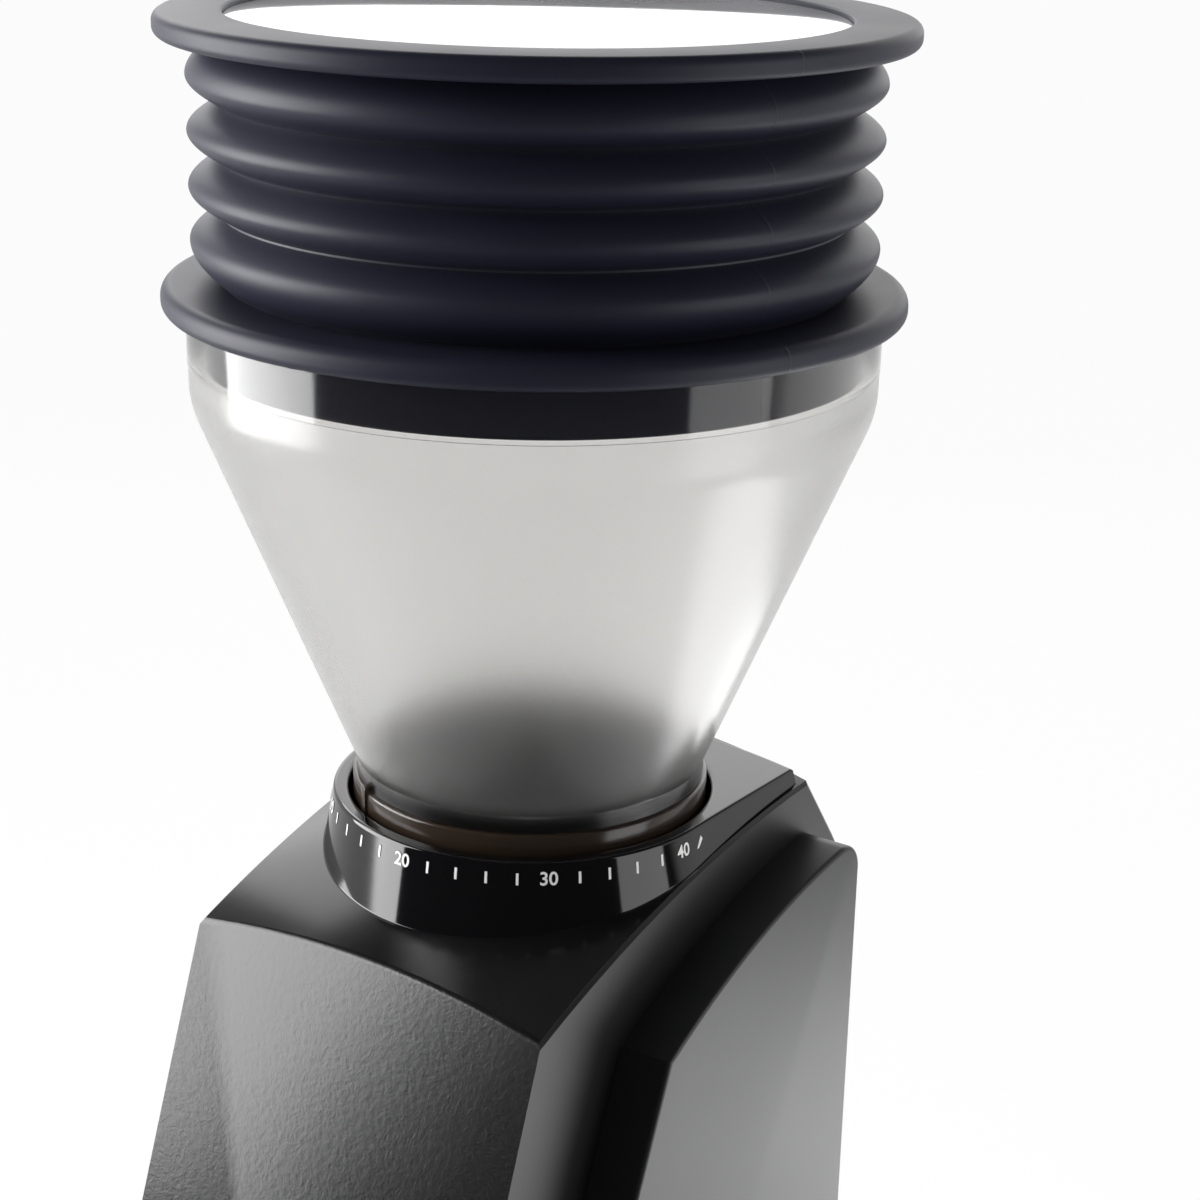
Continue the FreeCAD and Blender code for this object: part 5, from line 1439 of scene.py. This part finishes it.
    def cheek_outline(self) -> list[Point]:
        """Side outline of a cheek.

        Returns:
            Depth and level of each point in mm, from the front foot over the top to the rear foot.
        """
        count = int((self.shoulder_z - self.arc_z) / self.cheek_step)
        steps = [self.arc_z + k * self.cheek_step for k in range(count + 1)]
        levels = [self.foot_z, *steps, self.shoulder_z]
        points = [(self.front_line(self.setback, z), z) for z in levels]
        share = self.corner_r / self.cheek_arc
        end = (self.cheek_rear - self.corner_r - share * self.cheek_apex) / (1 - share)
        for k in range(self.cheek_steps + 1):
            y = self.cheek_crease + (end - self.cheek_crease) * k / self.cheek_steps
            drop = self.cheek_arc - math.sqrt(self.cheek_arc ** 2 - (self.cheek_apex - y) ** 2)
            points.append((y, self.cheek_top - drop))
        y, z = points[-1]
        turn = math.asin((self.cheek_apex - y) / self.cheek_arc)
        mid_y = y + self.corner_r * math.sin(turn)
        mid_z = z - self.corner_r * math.cos(turn)
        for k in range(1, self.corner_steps + 1):
            a = (math.pi / 2 + turn) * (1 - k / self.corner_steps)
            points.append((mid_y + self.corner_r * math.cos(a), mid_z + self.corner_r * math.sin(a)))
        return points + [(self.cheek_rear, self.foot_z)]

    @staticmethod
    def inward(outline: Sequence[Point], i: int) -> Vector:
        """Direction into an outline at one of its points, which is level at both feet.

        Args:
            outline: Points from the front foot over the top to the rear foot.
            i: Index of the point.

        Returns:
            The direction, of length 1.
        """
        here = Vector(outline[i])
        middle = Vector((sum(p[0] for p in outline), sum(p[1] for p in outline))) / len(outline)
        if i in (0, len(outline) - 1):
            return Vector((math.copysign(1.0, middle.x - here.x), 0.0))
        way = (Vector(outline[i + 1]) - Vector(outline[i - 1])).normalized()
        normal = Vector((way.y, -way.x))
        return -normal if normal.dot(middle - here) < 0 else normal

    def build_cheek(self, name: str, node: str, side: float) -> None:
        """Make one cheek with rounded outer edges.

        Args:
            name: Name of the piece.
            node: Frame node that it stands for.
            side: 1 on the right and -1 on the left.
        """
        outline = self.cheek_outline()
        inner, outer = self.half_w, self.half_w + self.cheek_t
        inwards = [self.inward(outline, i) for i in range(len(outline))]
        rows = [(inner, 0.0)]
        rows += [(outer - self.cheek_round * (1 - math.sin(t)), self.cheek_round * (1 - math.cos(t)))
                 for t in Shop.quarter(self.edge_steps)]
        shape = bmesh.new()
        loops = []
        for x, inset in rows:
            loop = [(side * x, y + way.x * inset, z + way.y * inset) for (y, z), way in zip(outline, inwards)]
            loops.append([shape.verts.new([length * MM for length in place]) for place in loop])
        for first, second in zip(loops[:-1], loops[1:]):
            for i in range(len(outline)):
                j = (i + 1) % len(outline)
                shape.faces.new((first[i], first[j], second[j], second[i]))
        shape.faces.new(loops[0])
        shape.faces.new(loops[-1])
        piece = Shop.finish_mesh(name, shape, self.cheek_sharp)
        Shop.settle(piece, Finishes.CHEEK, Body.HOUSING, node)


class Works:
    """Inner works, which keep their frame nodes and get their finishes."""

    @staticmethod
    def build() -> None:
        """Dress every node that shows as it is."""
        for name, finish in NODE_FINISH.items():
            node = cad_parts[name]
            node.data.materials.clear()
            node.data.materials.append(finish.material())
            LOG.info("%s dressed as %s", name, finish.name)


@dataclass(frozen=True)
class Softbox:
    """One soft studio light, standing round the grinder.

    Attributes:
        name: Name of the light.
        azimuth: Angle from the front in degrees, to the right.
        distance: Distance from the burr axis in metres.
        level: Height of its middle in metres.
        width: Width in metres.
        height: Height in metres.
        radiance: Brightness, where 1 is white.
        aim: Level that it points at in metres.
    """

    name: str
    azimuth: float
    distance: float
    level: float
    width: float
    height: float
    radiance: float
    aim: float = 0.25

    def build(self) -> None:
        """Make the light."""
        data = bpy.data.lights.new(self.name, "AREA")
        data.shape = "RECTANGLE"
        data.size = self.width
        data.size_y = self.height
        data.energy = self.radiance * math.pi * self.width * self.height
        light = bpy.data.objects.new(self.name, data)
        a = math.radians(self.azimuth)
        light.location = (self.distance * math.sin(a), -self.distance * math.cos(a), self.level)
        towards = Vector((0.0, 0.0, self.aim)) - light.location
        light.rotation_euler = towards.to_track_quat("-Z", "Y").to_euler()
        light.visible_camera = False
        light.visible_transmission = False
        bpy.context.scene.collection.objects.link(light)


@dataclass
class Studio:
    """Camera, floor, world and lights.

    Attributes:
        turn: Camera's place round the axis in degrees, to the right of the front.
        distance: Camera's distance from the axis in metres.
        level: Camera's height in metres.
        pitch: Downward tilt in radians.
        roll: Roll in radians.
        yaw: Turn off the axis in radians.
        lens: Focal length in mm.
        sensor: Width of the sensor in mm.
        floor_half: Half width of the floor in metres.
        floor_seen: How far the floor glows by itself to the camera.
        floor_through: The same through clear pieces and in mirrors.
        floor_fall: Distance in metres over which the mirrored floor turns dark to the front.
        world_fall: The same for the world, as a share of its direction.
        overhead: Height of a direction from which the mirrored world darkens, and is dark.
        WHITE: Backdrop.
        DARK: What the front side of the room mirrors.
        REAR: What the floor behind the grinder mirrors.
        ROOM: The world as a light.
        PALE: Colour of the floor.
        BOXES: The lights.
    """

    turn: float = 36.1676
    distance: float = 0.42182
    level: float = 0.42715
    pitch: float = 0.3349
    roll: float = -0.0213
    yaw: float = 0.0290
    lens: float = 74.15
    sensor: float = 36.0
    floor_half: float = 8.0
    floor_seen: float = 0.95
    floor_through: float = 0.97
    floor_fall: float = 0.25
    world_fall: float = 0.3
    overhead: Point = (0.3, 0.72)

    WHITE: ClassVar[Tone] = (1.0, 1.0, 1.0, 1.0)
    DARK: ClassVar[Tone] = (0.03, 0.03, 0.032, 1.0)
    REAR: ClassVar[Tone] = (0.9, 0.9, 0.9, 1.0)
    ROOM: ClassVar[Tone] = (0.34, 0.34, 0.35, 1.0)
    PALE: ClassVar[Tone] = (0.86, 0.86, 0.86, 1.0)
    BOXES: ClassVar[tuple[Softbox, ...]] = (
        Softbox("key_left", -55.0, 0.48, 0.36, 0.39, 0.44, 9.0),
        Softbox("high_left", -119.0, 0.6, 0.70, 0.28, 0.26, 3.2),
        Softbox("fill_right", 98.0, 0.50, 0.25, 0.26, 0.50, 2.4),
        Softbox("rear_right", 143.0, 0.27, 0.035, 0.36, 0.11, 3.0),
        Softbox("rear_glow", 208.0, 0.9, 0.6, 1.3, 0.6, 1.4),
    )

    def build(self) -> None:
        """Make everything round the grinder."""
        self.build_camera()
        self.build_floor()
        self.build_world()
        for box in self.BOXES:
            box.build()

    @staticmethod
    def swing(first: Vector, second: Vector, angle: float) -> tuple[Vector, Vector]:
        """Turn two square directions in their plane by an angle in radians."""
        cosine, sine = math.cos(angle), math.sin(angle)
        return first * cosine - second * sine, first * sine + second * cosine

    def build_camera(self) -> None:
        """Stand the camera where the photograph was taken."""
        a = math.radians(self.turn)
        up = Vector((0.0, 0.0, 1.0))
        ahead = Vector((-math.sin(a), math.cos(a), 0.0))
        right = Vector((math.cos(a), math.sin(a), 0.0))
        ahead, right = self.swing(ahead, right, -self.yaw)
        ahead, up = self.swing(ahead, up, self.pitch)
        right, up = self.swing(right, up, self.roll)
        data = bpy.data.cameras.new("camera")
        data.lens = self.lens
        data.sensor_width = self.sensor
        data.clip_start = 0.01
        camera = bpy.data.objects.new("camera", data)
        place = Matrix((right, up, -ahead)).transposed().to_4x4()
        place.translation = (self.distance * math.sin(a), -self.distance * math.cos(a), self.level)
        camera.matrix_world = place
        bpy.context.scene.collection.objects.link(camera)
        bpy.context.scene.camera = camera

    def rear_share(self, bench: Bench, way: bpy.types.NodeSocket, reach: float) -> bpy.types.NodeSocket:
        """Mask of what lies behind the grinder, which is bright; the front side of the room is dark.

        Args:
            bench: Node tree to add to.
            way: Place or direction.
            reach: Distance over which the mask falls off.

        Returns:
            The mask's socket, 1 behind and 0 in front.
        """
        a = math.radians(self.turn)
        axes = bench.add("ShaderNodeSeparateXYZ", {"Vector": way}).outputs
        ahead = bench.math("SUBTRACT", bench.math("MULTIPLY", axes["X"], math.sin(a)),
                           bench.math("MULTIPLY", axes["Y"], math.cos(a)))
        return bench.math("SUBTRACT", 1.0, bench.ramp(ahead, 0.0, reach))

    def build_floor(self) -> None:
        """Lay the pale floor."""
        shape = bmesh.new()
        bmesh.ops.create_grid(shape, x_segments=2, y_segments=2, size=self.floor_half)
        mesh = bpy.data.meshes.new("floor")
        shape.to_mesh(mesh)
        shape.free()
        floor = bpy.data.objects.new("floor", mesh)
        bpy.context.scene.collection.objects.link(floor)
        material = bpy.data.materials.new("floor_pale")
        material.use_nodes = True
        material.node_tree.nodes.clear()
        bench = Bench(material.node_tree)
        plain = bench.add("ShaderNodeBsdfPrincipled", {"Base Color": self.PALE, "Roughness": 0.8})
        glow = bench.add("ShaderNodeEmission", {"Strength": 1.0})
        path = bench.add("ShaderNodeLightPath").outputs
        direct = bench.math("MULTIPLY", path["Is Camera Ray"], self.floor_seen)
        through = bench.math("MULTIPLY", path["Is Transmission Ray"], self.floor_through)
        mirrored = bench.math("MULTIPLY", path["Is Glossy Ray"], self.floor_through)
        seen = bench.math("MAXIMUM", bench.math("MAXIMUM", direct, through), mirrored)
        place = bench.add("ShaderNodeTexCoord").outputs["Object"]
        rear = self.rear_share(bench, place, self.floor_fall)
        shade = bench.mix(rear, self.DARK, self.REAR)
        bench.feed(glow.inputs["Color"], bench.mix(path["Is Glossy Ray"], self.WHITE, shade))
        blend = bench.add("ShaderNodeMixShader", {"Fac": seen})
        bench.feed(blend.inputs[1], plain.outputs[0])
        bench.feed(blend.inputs[2], glow.outputs[0])
        out = bench.add("ShaderNodeOutputMaterial")
        bench.feed(out.inputs["Surface"], blend.outputs[0])
        mesh.materials.append(material)

    def build_world(self) -> None:
        """Make the white surround, darker overhead in reflections."""
        world = bpy.data.worlds.new("studio")
        bpy.context.scene.world = world
        world.use_nodes = True
        world.node_tree.nodes.clear()
        bench = Bench(world.node_tree)
        way = bench.add("ShaderNodeTexCoord").outputs["Generated"]
        z = bench.add("ShaderNodeSeparateXYZ", {"Vector": way}).outputs["Z"]
        overhead = bench.ramp(z, *self.overhead)
        path = bench.add("ShaderNodeLightPath").outputs
        rear = self.rear_share(bench, way, self.world_fall)
        seen = bench.math("MAXIMUM", path["Is Camera Ray"], path["Is Transmission Ray"])
        bright = bench.math("MULTIPLY", rear, bench.math("SUBTRACT", 1.0, overhead))
        mirror = bench.mix(bright, self.DARK, self.WHITE)
        room = bench.mix(path["Is Glossy Ray"], self.ROOM, mirror)
        colour = bench.mix(seen, room, self.WHITE)
        sky = bench.add("ShaderNodeBackground", {"Color": colour, "Strength": 1.0})
        out = bench.add("ShaderNodeOutputWorld")
        bench.feed(out.inputs["Surface"], sky.outputs[0])


def main() -> None:
    """Build the grinder and its studio."""
    logging.basicConfig(level=logging.INFO, format="%(message)s")
    bpy.context.scene.view_settings.view_transform = "Standard"
    collar = Collar()
    for part in (Bellows(), Hopper(), collar, Housing(collar), Works(), Studio()):
        part.build()
        LOG.info("%s done", type(part).__name__)


if __name__ == "__main__":
    main()
